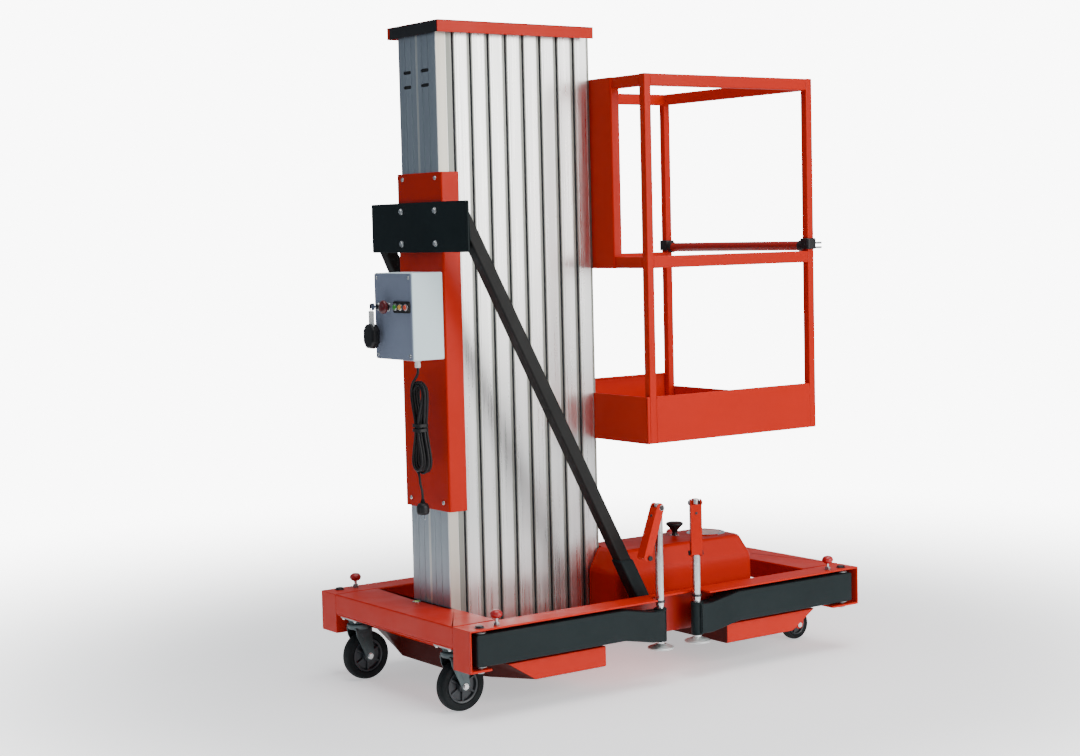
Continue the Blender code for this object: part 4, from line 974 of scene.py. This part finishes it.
CLAMP = (0.1312, 0.1374, 0.265, 1.312, 1.459)
kx0, kx1, kw, kz0, kz1 = CLAMP
p = Part("clamp_plate_bolted", [SLATE, ZINC, DARK_STEEL])
yz = fillet([(-kw, kz0), (kw, kz0), (kw, kz1), (-kw, kz1)], 0.006, 4)
p.add(prism(yz, "x", kx0, kx1, 0.0012, 3), SLATE)
for y in (-0.093, 0.093):
    for z in (1.338, 1.434):
        p.add(washer((kx0 + 0.0002, y, z), (-1, 0, 0), 0.0030, 0.0098, 0.0014), ZINC)
        p.add(hexagon((kx0 - 0.0012, y, z), (-1, 0, 0), 0.0078, 0.0044, 0.4 + z), ZINC)
p.done("chassis", "slate_paint", ["clamp_plate"])

STRUT_Z, STRUT_TOP_X, STRUT_BOT_X, STRUT_TOP_Y, STRUT_BOT_Y, STRUT_W = (0.1506, 1.440), 0.1147, 0.7470, 0.239, 0.306, 0.040
for side, s in SIDES:
    z0, z1 = STRUT_Z
    h = STRUT_W / 2
    hx = h * math.hypot(1.0, (STRUT_BOT_X - STRUT_TOP_X) / (z1 - z0))

    def section(z, gx, gy, r):
        f = (z1 - z) / (z1 - z0)
        x = STRUT_TOP_X + f * (STRUT_BOT_X - STRUT_TOP_X)
        y = s * (STRUT_TOP_Y + f * (STRUT_BOT_Y - STRUT_TOP_Y))
        return [(x + a, y + b, z) for a, b in fillet([(-gx, -gy), (gx, -gy), (gx, gy), (-gx, gy)], r, 4)]
    p = Part("mast_strut_tube_" + side, [STRUT, SLATE])
    tube = skin([section(z0, hx, h, 0.006)] + [section(z0 + (z1 - z0) * k / 6, hx, h, 0.006) for k in range(1, 7)])
    tube = carve(tube, box((0.0, kx1 + 0.0004), (-0.5, 0.5), (1.2, 1.6), 0.001, 0.0001))
    p.add(tube, STRUT)
    foot = [section(z0 + 0.0005, hx + 0.0030, h + 0.0024, 0.007), section(z0 + 0.0018, hx + 0.0040, h + 0.0034, 0.007),
            section(0.3702, hx + 0.0040, h + 0.0034, 0.007), section(0.3720, hx + 0.0026, h + 0.0022, 0.006)]
    p.add(skin(foot), SLATE)
    ring = section(0.3722, hx + 0.0010, h + 0.0010, 0.006)
    p.add(bead(ring, 0.0018), SLATE)
    for y in (-1, 1):                                   # weld to the back of the clamp plate
        f = (z1 - 1.330) / (z1 - z0)
        yy = s * (STRUT_TOP_Y + f * (STRUT_BOT_Y - STRUT_TOP_Y)) + y * (h + 0.0004)
        f2 = (z1 - 1.420) / (z1 - z0)
        y2 = s * (STRUT_TOP_Y + f2 * (STRUT_BOT_Y - STRUT_TOP_Y)) + y * (h + 0.0004)
        p.add(bead([(kx1 + 0.0016, yy, 1.345), (kx1 + 0.0016, y2, 1.425)], 0.0015, False), SLATE)
    p.done("chassis", "slate_paint", ["mast_strut_" + side])


# ------------------------------------------------------------------ control box
BOX = (0.028, 0.1372, -0.117, 0.089, 1.001, 1.255)
bx0, bx1, by0, by1, bz0, bz1 = BOX
p = Part("control_box_case", [BOXGREY, BOX_REAR_SHADE, ZINC, PALE, BLACK])
body = box((bx0 + 0.0035, bx1), (by0, by1), (bz0, bz1), 0.004, 0.003, "x", 4)
p.add(body, BOXGREY)
# painted shade: the door over the whole rear face and the plate on it take the darker, bluer copy of the box paint
door = prism(fillet([(by0 + 0.0012, bz0 + 0.0012), (by1 - 0.0012, bz0 + 0.0012), (by1 - 0.0012, bz1 - 0.0012), (by0 + 0.0012, bz1 - 0.0012)], 0.006, 5),
             "x", bx0 + 0.0002, bx0 + 0.0024, 0.0012, 3)
p.add(door, BOX_REAR_SHADE)
p.add(box((bx0 + 0.0020, bx0 + 0.0045), (by0 + 0.004, by1 - 0.004), (bz0 + 0.004, bz1 - 0.004), 0.004, 0.0003, "x"), BLACK)
# thin flat plate on the door
plate = prism(fillet([(-0.030, 1.040), (0.020, 1.040), (0.020, 1.118), (-0.030, 1.118)], 0.003, 4), "x", bx0 + 0.00005, bx0 + 0.0006, 0.0002, 1)
p.add(plate, BOX_REAR_SHADE)
for y, z in ((by0 + 0.014, bz1 - 0.014), (by1 - 0.014, bz1 - 0.014), (by0 + 0.014, bz0 + 0.014), (by1 - 0.014, bz0 + 0.014)):
    sc = carve(lathe(rounded([(0.0, 0.0), (0.0056, 0.0), (0.0050, 0.0017), (0.0, 0.0025)], 0.0007), (bx0 + 0.0002, y, z), (-1, 0, 0), 24),
               box((bx0 - 0.004, bx0 - 0.0008), (y - 0.0006, y + 0.0006), (z - 0.006, z + 0.006), 0.0001, 0.0001, "x", 1))
    p.add(sc, ZINC)
for y in (by0 + 0.045, by1 - 0.045):                    # hinge knuckles under the top edge
    p.add(lathe(rounded([(0.0, -0.012), (0.0030, -0.012), (0.0030, 0.012), (0.0, 0.012)], 0.0005), (bx0 + 0.0060, y, bz1 - 0.0033), (0, 1, 0), 16), BOXGREY)
p.add(hexagon((GLAND[0], GLAND[1], bz0 + 0.001), (0, 0, -1), 0.0123, 0.0068, 0.1), PALE)
g = [(0.0046, bz0 - 0.0240), (0.0070, bz0 - 0.0240), (0.0084, bz0 - 0.0225), (0.0084, bz0 - 0.0105), (0.0078, bz0 - 0.0098), (0.0078, bz0 - 0.0055), (0.0046, bz0 - 0.0055)]
p.add(lathe(g, (GLAND[0], GLAND[1], 0), n=32), PALE)
for k in range(12):
    a = 2 * math.pi * k / 12
    p.add(box((GLAND[0] + 0.0079 * math.cos(a) - 0.0006, GLAND[0] + 0.0079 * math.cos(a) + 0.0006), (GLAND[1] + 0.0079 * math.sin(a) - 0.0006, GLAND[1] + 0.0079 * math.sin(a) + 0.0006),
              (bz0 - 0.0220, bz0 - 0.0112), 0.0003, 0.0003), PALE)
p.done("chassis", "box_paint", ["control_box"])

p = Part("indicator_strip", [BLACK, GREEN, AMBER, SIGNAL, ZINC])
sx = bx0 - 0.0003
p.add(box((sx - 0.0030, sx), (-0.112, -0.020), (1.139, 1.173), 0.006, 0.0010, "x"), BLACK)
for (y, r, out), lens in zip(((-0.036, 0.0105, 0.010), (-0.064, 0.0105, 0.010), (-0.094, 0.0105, 0.010)), (GREEN, AMBER, SIGNAL)):
    base = (sx - 0.0028, y, 1.156)
    bezel = [(0.0074, 0.0), (0.0102, 0.0), (0.0104, 0.0008), (0.0102, 0.0042), (0.0094, 0.0050), (0.0078, 0.0050), (0.0074, 0.0044)]
    p.add(lathe(bezel, base, (-1, 0, 0), 32), ZINC)
    dome = [(0.0, 0.0), (0.0077, 0.0), (0.0077, 0.0052), (0.0070, 0.0074), (0.0054, 0.0088), (0.0030, 0.0096), (0.0, 0.0098)]
    p.add(lathe(dome, base, (-1, 0, 0), 32), lens)
p.done("chassis", "black_plastic", ["button_strip"])

p = Part("emergency_stop", [STOP, BLACK, ZINC])
base = (bx0 - 0.0003, 0.008, 1.156)
p.add(lathe(rounded([(0.0, 0.0), (0.0140, 0.0), (0.0140, 0.0045), (0.0105, 0.0060), (0.0, 0.0060)], 0.0010), base, (-1, 0, 0), 40), ZINC)
p.add(lathe([(0.0, 0.005), (0.0098, 0.005), (0.0098, 0.0135), (0.0, 0.0135)], base, (-1, 0, 0), 32), BLACK)
head = [(0.0, 0.0125), (0.0150, 0.0128), (0.0185, 0.0140), (0.0198, 0.0165), (0.0199, 0.0205), (0.0190, 0.0232), (0.0160, 0.0262), (0.0105, 0.0282), (0.0050, 0.0289), (0.0, 0.0290)]
p.add(lathe(head, base, (-1, 0, 0), 48), STOP)
p.done("chassis", "stop_red", ["stop_button"])

ky, kz = 0.062, 1.156
p = Part("key_and_fob", [BLACK, ZINC, CHROME, PALE])
base = (bx0 - 0.0003, ky, kz)
p.add(lathe(rounded([(0.0, 0.0), (0.0124, 0.0), (0.0124, 0.0030), (0.0104, 0.0076), (0.0, 0.0080)], 0.001), base, (-1, 0, 0), 40), ZINC)
p.add(lathe([(0.0, 0.0070), (0.0072, 0.0070), (0.0072, 0.0086), (0.0, 0.0086)], base, (-1, 0, 0), 32), BLACK)
bow = prism(fillet([(bx0 - 0.0335, kz - 0.0105), (bx0 - 0.018, kz - 0.0105), (bx0 - 0.016, kz - 0.0035), (bx0 - 0.006, kz - 0.0035),
                    (bx0 - 0.006, kz + 0.0035), (bx0 - 0.016, kz + 0.0035), (bx0 - 0.018, kz + 0.0105), (bx0 - 0.0335, kz + 0.0105)],
                   [0.006, 0.003, 0.001, 0.0002, 0.0002, 0.001, 0.003, 0.006], 5), "y", ky - 0.0011, ky + 0.0011, 0.0004, 2)
bow = carve(bow, prism(fillet([(bx0 - 0.0308, kz - 0.0085), (bx0 - 0.0256, kz - 0.0085), (bx0 - 0.0256, kz - 0.0040), (bx0 - 0.0308, kz - 0.0040)], 0.0016, 4), "y", ky - 0.01, ky + 0.01, 0.0001, 1))
p.add(bow, CHROME)
# pale strap through the bow and the padded fob hanging from it
p.add(box((bx0 - 0.0302, bx0 - 0.0264), (ky - 0.0140, ky + 0.0140), (kz - 0.0580, kz - 0.0120), 0.0016, 0.0012, "x"), PALE)
ring = [(bx0 - 0.0284, ky + 0.0060 * math.sin(t), kz - 0.0110 + 0.0078 * math.cos(t)) for t in [2 * math.pi * k / 32 for k in range(32)]]
p.add(sweep(ring, 0.0010, 8, True), CHROME)
fy, fz, fw = 0.071, kz - 0.087, 0.030
outline = fillet([(fy - fw, fz - 0.018), (fy - 0.016, fz - 0.036), (fy + 0.016, fz - 0.036), (fy + fw, fz - 0.018),
                  (fy + fw, fz + 0.018), (fy + 0.016, fz + 0.036), (fy - 0.016, fz + 0.036), (fy - fw, fz + 0.018)], 0.011, 5)
p.add(prism(outline, "x", bx0 - 0.0385, bx0 - 0.0100, 0.0095, 6), BLACK)
p.add(bead([(bx0 - 0.02425, a, b) for a, b in inset(outline, -0.0004)], 0.0009), BLACK)
p.done("chassis", "black_plastic", ["key_switch"])


# ------------------------------------------------------------------ power unit and its hood
HOOD = [(0.1506, 0.652, 1.213, -0.250, 0.200), (0.318, 0.654, 1.211, -0.250, 0.200), (0.383, 0.690, 1.184, -0.222, -0.030)]
HOOD_CHAMFER = 0.020


def hood_at(z, d=0.0):
    for (z0, *a), (z1, *b) in zip(HOOD, HOOD[1:]):
        if z <= z1 or z1 == HOOD[-1][0]:
            f = (z - z0) / (z1 - z0)
            xa, xb, ya, yb = (p + (q - p) * f for p, q in zip(a, b))
            return xa + d, xb - d, ya + d, yb - d


def hood_ring(z, d, r):
    xa, xb, ya, yb = hood_at(min(z, HOOD[2][0]), d)
    c = HOOD_CHAMFER - d * 0.4
    pts = [(xa, ya), (xb - c, ya), (xb, ya + c), (xb, yb - c), (xb - c, yb), (xa, yb)]
    return [(a, b, z) for a, b in fillet(pts, r, 5)]


def hood_shell(d, top):
    rings = []
    z_fold, z_top = HOOD[1][0], HOOD[2][0] - top
    for z in (0.1506 - (0.02 if d else 0.0), 0.160, z_fold - 0.012):
        rings.append(hood_ring(z, d, 0.020))
    for k in range(1, 6):                               # rounded break from wall to slope
        q = k / 6
        z = z_fold - 0.012 + 0.022 * q
        a = hood_ring(z_fold - 0.012, d, 0.020)
        b = hood_ring(z_fold, d, 0.020)
        c = hood_ring(z_fold + 0.012, d, 0.022)
        rings.append([tuple((1 - q) ** 2 * u + 2 * q * (1 - q) * v + q * q * w for u, v, w in zip(p, m, n)) for p, m, n in zip(a, b, c)])
    rings.append(hood_ring(z_fold + 0.012, d, 0.022))
    top_a, top_b = hood_ring(z_top - 0.010, d, 0.024), hood_ring(z_top, d, 0.024)
    xa, xb, ya, yb = hood_at(z_top, d + 0.014)
    c = HOOD_CHAMFER - d * 0.4
    flat = [(a, b, z_top) for a, b in fillet([(xa, ya), (xb - c, ya), (xb, ya + c), (xb, yb - c), (xb - c, yb), (xa, yb)], 0.026, 5)]
    for k in range(6):
        q = k / 5
        rings.append([tuple((1 - q) ** 2 * u + 2 * q * (1 - q) * v + q * q * w for u, v, w in zip(p, m, n)) for p, m, n in zip(top_a, top_b, flat)])
    return skin(rings)


p = Part("hood_moulded", [RED, CHROME, PALE, ZINC])
outer = carve(hood_shell(0.0004, 0.0), box((0.600, 0.7060), (-0.108, 0.108), (0.10, 0.45), 0.004, 0.0002))
inner = carve(hood_shell(0.0040, 0.003), box((0.600, 0.7100), (-0.112, 0.112), (0.10, 0.45), 0.004, 0.0002))
p.add(carve(outer, inner), RED)
KN = (1.005, -0.100)
p.add(washer((KN[0], KN[1], 0.3829), (0, 0, 1), 0.0050, 0.0150, 0.0016), ZINC)
# round lid with a bright rim on the flat top
FC = (1.112, -0.128)
p.add(lathe([(0.050, 0.0), (0.062, 0.0), (0.0625, 0.0012), (0.0605, 0.0036), (0.0560, 0.0046), (0.0520, 0.0036), (0.050, 0.0020)], (FC[0], FC[1], 0.3828), n=64), CHROME)
p.add(lathe(rounded([(0.0, 0.0), (0.0508, 0.0), (0.0508, 0.0030), (0.0, 0.0026)], 0.001), (FC[0], FC[1], 0.3828), n=48), PALE)
p.done("chassis", "red_paint", ["power_unit_hood", "hood_wing_right", "hood_wing_left"], sharp=30)

p = Part("hood_clamp_knob", [BLACK, ZINC])
prof = [(0.0, 0.3834), (0.0090, 0.3834), (0.0098, 0.3850), (0.0080, 0.3900), (0.0085, 0.3950), (0.0120, 0.4020), (0.0205, 0.4120), (0.0265, 0.4168),
        (0.0275, 0.4195), (0.0268, 0.4235), (0.0235, 0.4255), (0.0, 0.4260)]
p.add(lathe(prof, (KN[0], KN[1], 0), n=48), BLACK)
for k in range(18):
    a = 2 * math.pi * k / 18
    p.add(box((KN[0] + 0.0264 * math.cos(a) - 0.0009, KN[0] + 0.0264 * math.cos(a) + 0.0009), (KN[1] + 0.0264 * math.sin(a) - 0.0009, KN[1] + 0.0264 * math.sin(a) + 0.0009),
              (0.4172, 0.4238), 0.0006, 0.0006), BLACK)
p.done("chassis", "black_plastic", ["hood_knob"])

p = Part("pump_motor_battery", [UNIT, BLACK, ZINC, RED_DARKER])
p.add(box((0.760, 1.140), (-0.190, 0.140), (0.1506, 0.190), 0.006, 0.002), UNIT)
p.add(box((0.770, 0.930), (-0.180, 0.010), (0.188, 0.298), 0.006, 0.003), BLACK)
p.add(lathe(rounded([(0.0, 0.0), (0.045, 0.0), (0.045, 0.150), (0.0, 0.150)], 0.006), (0.960, 0.060, 0.245), (1, 0, 0), 32), ZINC)
p.add(box((0.960, 1.130), (-0.180, -0.020), (0.188, 0.290), 0.010, 0.004), UNIT)
p.done("chassis", "unit_steel", ["power_unit"])


# ------------------------------------------------------------------ platform basket
BX, BY, POST, POST_SET = (0.690, 1.380), 0.365, 0.026, 0.012
TOP_Z, MID_Z, RAIL_H = 1.825, 1.284, 0.036
TOE_Z, FLOOR_B, SILL_TOP, GATE_Z = (0.7225, 0.864), (0.7265, 0.7365), 0.818, 1.300
BACK_X, BACK_Y = (0.6979, 0.7029), 0.209
b0, b1 = BX
ROUND = 0.0035


def joint_beads(p, x, ys, z, t=0.0014):
    """A weld run across the post where a rail meets it at height z."""
    p.add(bead([(x, ys[0] + 0.002, z), (x, ys[1] - 0.002, z)], t, False), RED)


r0 = b0 + POST_SET
for side, s in SIDES:
    ys = span(s, BY - POST, BY)
    yr = span(s, BY - POST + 0.0004, BY - 0.0004)
    p = Part("guard_frame_" + side, [RED, RED_DARKER])
    for xs in ((r0, r0 + POST), (b1 - POST, b1)):
        p.add(box(xs, ys, (TOE_Z[0], TOP_Z), ROUND, 0.0025, seg=4), RED)
    for z in (TOP_Z - 0.0003, MID_Z):
        p.add(box((r0 + 0.002, b1 - 0.002), yr, (z - RAIL_H, z), ROUND, 0.001, "x", 4), RED)
        p.add(box((r0 + 0.0008, r0 + POST - 0.0008), span(s, BACK_Y + 0.0004, BY - 0.002), (z - RAIL_H + 0.0003, z - 0.0006), ROUND, 0.001, "y", 4), RED)
        for x in (r0 + POST, b1 - POST):
            for y in yr:
                p.add(bead([(x, y, z - RAIL_H + 0.003), (x, y, z - 0.003)], 0.0013, False), RED)
            p.add(bead([(x, yr[0] + 0.003, z - RAIL_H), (x, yr[1] - 0.003, z - RAIL_H)], 0.0015, False), RED)
            if z < TOP_Z - 0.01:
                p.add(bead([(x, yr[0] + 0.003, z), (x, yr[1] - 0.003, z)], 0.0015, False), RED)
        yw = s * (BY - POST)
        p.add(bead([(r0 + 0.001, yw, z - RAIL_H + 0.003), (r0 + 0.001, yw, z - 0.003)], 0.0013, False), RED)
    p.done("stage_8", "red_paint", ["platform_frame_" + side])

p = Part("back_plate_folded", [RED, ZINC])
x0, x1, w = BACK_X[0], BACK_X[1], BACK_Y
outline = fillet([(x0, -w), (0.7290, -w), (0.7290, -w + 0.004), (x1, -w + 0.004), (x1, w - 0.004), (0.7290, w - 0.004), (0.7290, w), (x0, w)],
                 [0.0055, 0.0010, 0.0010, 0.0020, 0.0020, 0.0010, 0.0010, 0.0055], 5)
p.add(prism(outline, "z", MID_Z - RAIL_H, TOP_Z - 0.0006, 0.0010, 2), RED)
for y in (-0.075, 0.075):
    for z in (1.29, 1.42, 1.66, 1.78):
        p.bolt((x1 - 0.0004, y, z), (1, 0, 0), 0.0068, 0.0046, ZINC, 0.3 + z)
p.done("stage_8", "red_paint", ["platform_back_plate"])

p = Part("front_guard_rail", [RED])
p.add(box((b1 - POST + 0.0004, b1 - 0.0004), (-BY + POST + 0.0003, BY - POST - 0.0003), (TOP_Z - RAIL_H, TOP_Z - 0.0003), ROUND, 0.001, "y", 4), RED)
p.done("stage_8", "red_paint", ["platform_front_rail"])


def tray():
    t, m = 0.004, 0.1023
    q = POST + 0.0003
    p = Part("floor_tray_folded", [RED])
    zb, zt = TOE_Z
    ft = FLOOR_B[1]
    rear, front = (r0 - 0.0003, r0 + q), (b1 - q, b1 + 0.05)
    # floor cut out for the mast and the posts
    deck = carve(prism(fillet([(b0 + 0.0005, -BY + 0.0005), (b1 - 0.0005, -BY + 0.0005), (b1 - 0.0005, BY - 0.0005), (b0 + 0.0005, BY - 0.0005)], 0.002, 2), "z", zb, ft, 0.0015, 3),
                 box((b0 - 0.05, 0.6979), (-m, m), (0.7, 0.8), 0.003, 0.0002),
                 *[box(xs, span(s, BY - q, 0.5), (0.7, 0.8), 0.001, 0.0002) for xs in (rear, front) for s in (-1, 1)])
    p.add(deck, RED)
    for s in (-1, 1):
        p.add(box((rear[1], front[0]), span(s, BY - t, BY), (zb + 0.0008, zt), 0.001, 0.0015, "x", 3), RED)
        p.add(box((rear[1] + 0.001, front[0] - 0.001), span(s, BY - 0.013, BY - t + 0.001), (zt - 0.0045, zt - 0.0006), 0.001, 0.0008, "x", 2), RED)
        p.add(box((b0, rear[0]), span(s, BY - t, BY), (zb + 0.0008, zt), 0.001, 0.0012, "x", 3), RED)
        p.add(box((b0, b0 + t), span(s, m, BY), (zb + 0.0008, zt), 0.0012, 0.0015, "y", 3), RED)
    p.add(box((b1 - t, b1), (-BY + q, BY - q), (zb + 0.0008, SILL_TOP), 0.001, 0.0015, "y", 3), RED)
    # raised lozenges pressed into the floor
    nx, ny = 22, 25
    for i in range(nx):
        for j in range(ny):
            x = b0 + 0.045 + (b1 - b0 - 0.075) * (i + 0.5 * (j % 2)) / nx
            y = -BY + 0.040 + (2 * BY - 0.080) * j / (ny - 1)
            if x > b1 - 0.03 or (abs(y) < m + 0.02 and x < 0.725) or (abs(y) > BY - 0.045 and (x < rear[1] + 0.015 or x > front[0] - 0.015)):
                continue
            a = math.radians(45 if (i + j) % 2 else -45)
            lo, hi = [], []
            for u, v in ((-0.0095, 0), (0, -0.0024), (0.0095, 0), (0, 0.0024)):
                cx, cy = u * math.cos(a) - v * math.sin(a), u * math.sin(a) + v * math.cos(a)
                lo.append((x + cx, y + cy, ft - 0.0003))
                hi.append((x + cx * 0.78, y + cy * 0.5, ft + 0.0012))
            p.add(skin([lo, hi], cap_lo=False), RED)
    for s in (-1, 1):
        for x in (rear[1], front[0]):
            p.add(bead([(x, s * BY - s * 0.0014, zb + 0.004), (x, s * BY - s * 0.0014, zt - 0.003)], 0.0012, False), RED)
    p.done("stage_8", "red_paint", ["platform_floor_tray"], sharp=30)


tray()

zg = (MID_Z + 0.0055, MID_Z + 0.0400)
GX = b1 - POST / 2
p = Part("entry_gate_rail", [RED_DARKER, BLACK, ZINC])
yg = BY - POST - 0.004
p.add(lathe(rounded([(0.0, 0.0), (0.015, 0.0), (0.015, 2 * yg), (0.0, 2 * yg)], 0.001), (GX, -yg, GATE_Z), (0, 1, 0), 32), RED_DARKER)
for side, s in SIDES:
    def ring_at(d, r, k):
        ya, yb = s * (BY - POST - d), s * (BY + d)
        return fillet([(b1 - POST - d, ya), (b1 + d, ya), (b1 + d, yb), (b1 - POST - d, yb)], r, k)
    p.add(carve(prism(ring_at(0.007, 0.010, 6), "z", zg[0], zg[1], 0.0035, 4), prism(ring_at(0.0013, 0.004, 4), "z", zg[0] - 0.01, zg[1] + 0.01, 0.0002, 1)), BLACK)
    p.add(lathe([(0.0150, 0.0), (0.0172, 0.0), (0.0180, 0.0010), (0.0180, 0.0150), (0.0170, 0.0165), (0.0150, 0.0165)], (GX, s * (BY - POST - 0.0060), GATE_Z + 0.0002), (0, -s, 0), 32), BLACK)
for z in (zg[0] + 0.0045, zg[0] + 0.0190):              # latch pins on the near sleeve
    p.add(lathe(rounded([(0.0, 0.0), (0.0034, 0.0), (0.0034, 0.0340), (0.0, 0.0350)], 0.0012), (b1 + 0.0060, -BY + 0.008, z), (1, 0, 0), 18), ZINC)
    p.add(hexagon((b1 + 0.0068, -BY + 0.008, z), (1, 0, 0), 0.0052, 0.0045, 0.3), DARK_STEEL)
p.done("entry_gate", "red_paint", ["entry_gate_bar"])


# ------------------------------------------------------------------ floor, light, finish
def floor():
    me = bpy.data.meshes.new("studio_floor")
    r = 6.0
    me.from_pydata([(-r, -r, 0), (r, -r, 0), (r, r, 0), (-r, r, 0)], [], [(0, 1, 2, 3)])
    ob = bpy.data.objects.new("studio_floor", me)
    bpy.context.scene.collection.objects.link(ob)
    m, nt, b = new_mat("floor_white", (0.90, 0.90, 0.905), 0.75, spec=0.2)
    nt.links.new(tint(nt, noise(nt, 1.3, 3.0), (0.89, 0.89, 0.895), (0.91, 0.91, 0.915)), b.inputs["Base Color"])
    b.inputs["Emission Color"].default_value = (0.97, 0.985, 1.0, 1.0)
    b.inputs["Emission Strength"].default_value = 0.60
    # the sheet thins out towards the backdrop, so that no horizon shows
    co = nt.nodes.new("ShaderNodeTexCoord")
    away = nt.nodes.new("ShaderNodeVectorMath")
    away.operation = "LENGTH"
    nt.links.new(co.outputs["Object"], away.inputs[0])
    fade = nt.nodes.new("ShaderNodeMapRange")
    fade.interpolation_type = "SMOOTHSTEP"
    fade.inputs["From Min"].default_value, fade.inputs["From Max"].default_value = 1.1, 4.2
    nt.links.new(away.outputs["Value"], fade.inputs["Value"])
    clear = nt.nodes.new("ShaderNodeBsdfTransparent")
    mix = nt.nodes.new("ShaderNodeMixShader")
    nt.links.new(fade.outputs["Result"], mix.inputs["Fac"])
    nt.links.new(b.outputs["BSDF"], mix.inputs[1])
    nt.links.new(clear.outputs["BSDF"], mix.inputs[2])
    nt.links.new(mix.outputs["Shader"], nt.nodes["Material Output"].inputs["Surface"])
    me.materials.append(m)


def area(name, loc, aim, size, power, colour=(1.0, 1.0, 1.0), spread=180.0):
    d = bpy.data.lights.new(name, "AREA")
    d.shape = "RECTANGLE"
    d.size, d.size_y = size
    d.energy = power
    d.color = colour
    d.spread = math.radians(spread)
    ob = bpy.data.objects.new(name, d)
    bpy.context.scene.collection.objects.link(ob)
    ob.location = loc
    ob.rotation_euler = (Vector(aim) - Vector(loc)).to_track_quat("-Z", "Y").to_euler()
    return ob


def world():
    w = bpy.data.worlds.new("studio")
    bpy.context.scene.world = w
    w.use_nodes = True
    nt = w.node_tree
    bg = nt.nodes["Background"]
    out = nt.nodes["World Output"]
    co = nt.nodes.new("ShaderNodeTexCoord")
    axes = nt.nodes.new("ShaderNodeSeparateXYZ")
    nt.links.new(co.outputs["Generated"], axes.inputs["Vector"])
    ramp = nt.nodes.new("ShaderNodeValToRGB")
    ramp.color_ramp.elements[0].position, ramp.color_ramp.elements[1].position = 0.0, 1.0
    ramp.color_ramp.elements[0].color, ramp.color_ramp.elements[1].color = (0.22, 0.27, 0.35, 1.0), (0.82, 0.87, 0.93, 1.0)
    turn = nt.nodes.new("ShaderNodeMapRange")
    turn.inputs["From Min"].default_value, turn.inputs["From Max"].default_value = -0.85, 0.15
    nt.links.new(axes.outputs["X"], turn.inputs["Value"])
    nt.links.new(turn.outputs["Result"], ramp.inputs["Fac"])
    nt.links.new(ramp.outputs["Color"], bg.inputs["Color"])
    bg.inputs["Strength"].default_value = 0.42
    seen = nt.nodes.new("ShaderNodeBackground")
    seen.inputs["Color"].default_value = (1.0, 1.0, 1.0, 1.0)
    seen.inputs["Strength"].default_value = 9.0
    lp = nt.nodes.new("ShaderNodeLightPath")
    mix = nt.nodes.new("ShaderNodeMixShader")
    nt.links.new(lp.outputs["Is Camera Ray"], mix.inputs["Fac"])
    nt.links.new(bg.outputs["Background"], mix.inputs[1])
    nt.links.new(seen.outputs["Background"], mix.inputs[2])
    nt.links.new(mix.outputs["Shader"], out.inputs["Surface"])


floor()
world()
area("key_near_side", (1.6, -5.6, 2.4), (0.1, 0.0, 0.9), (4.5, 3.6), 290.0, (1.0, 0.985, 0.96))
area("top_soft", (0.2, -0.6, 5.4), (0.0, 0.0, 0.5), (5.0, 4.0), 290.0)
area("rear_fill", (-5.0, 1.6, 2.2), (0.0, 0.0, 0.9), (3.0, 2.5), 16.0, (0.80, 0.90, 1.0))
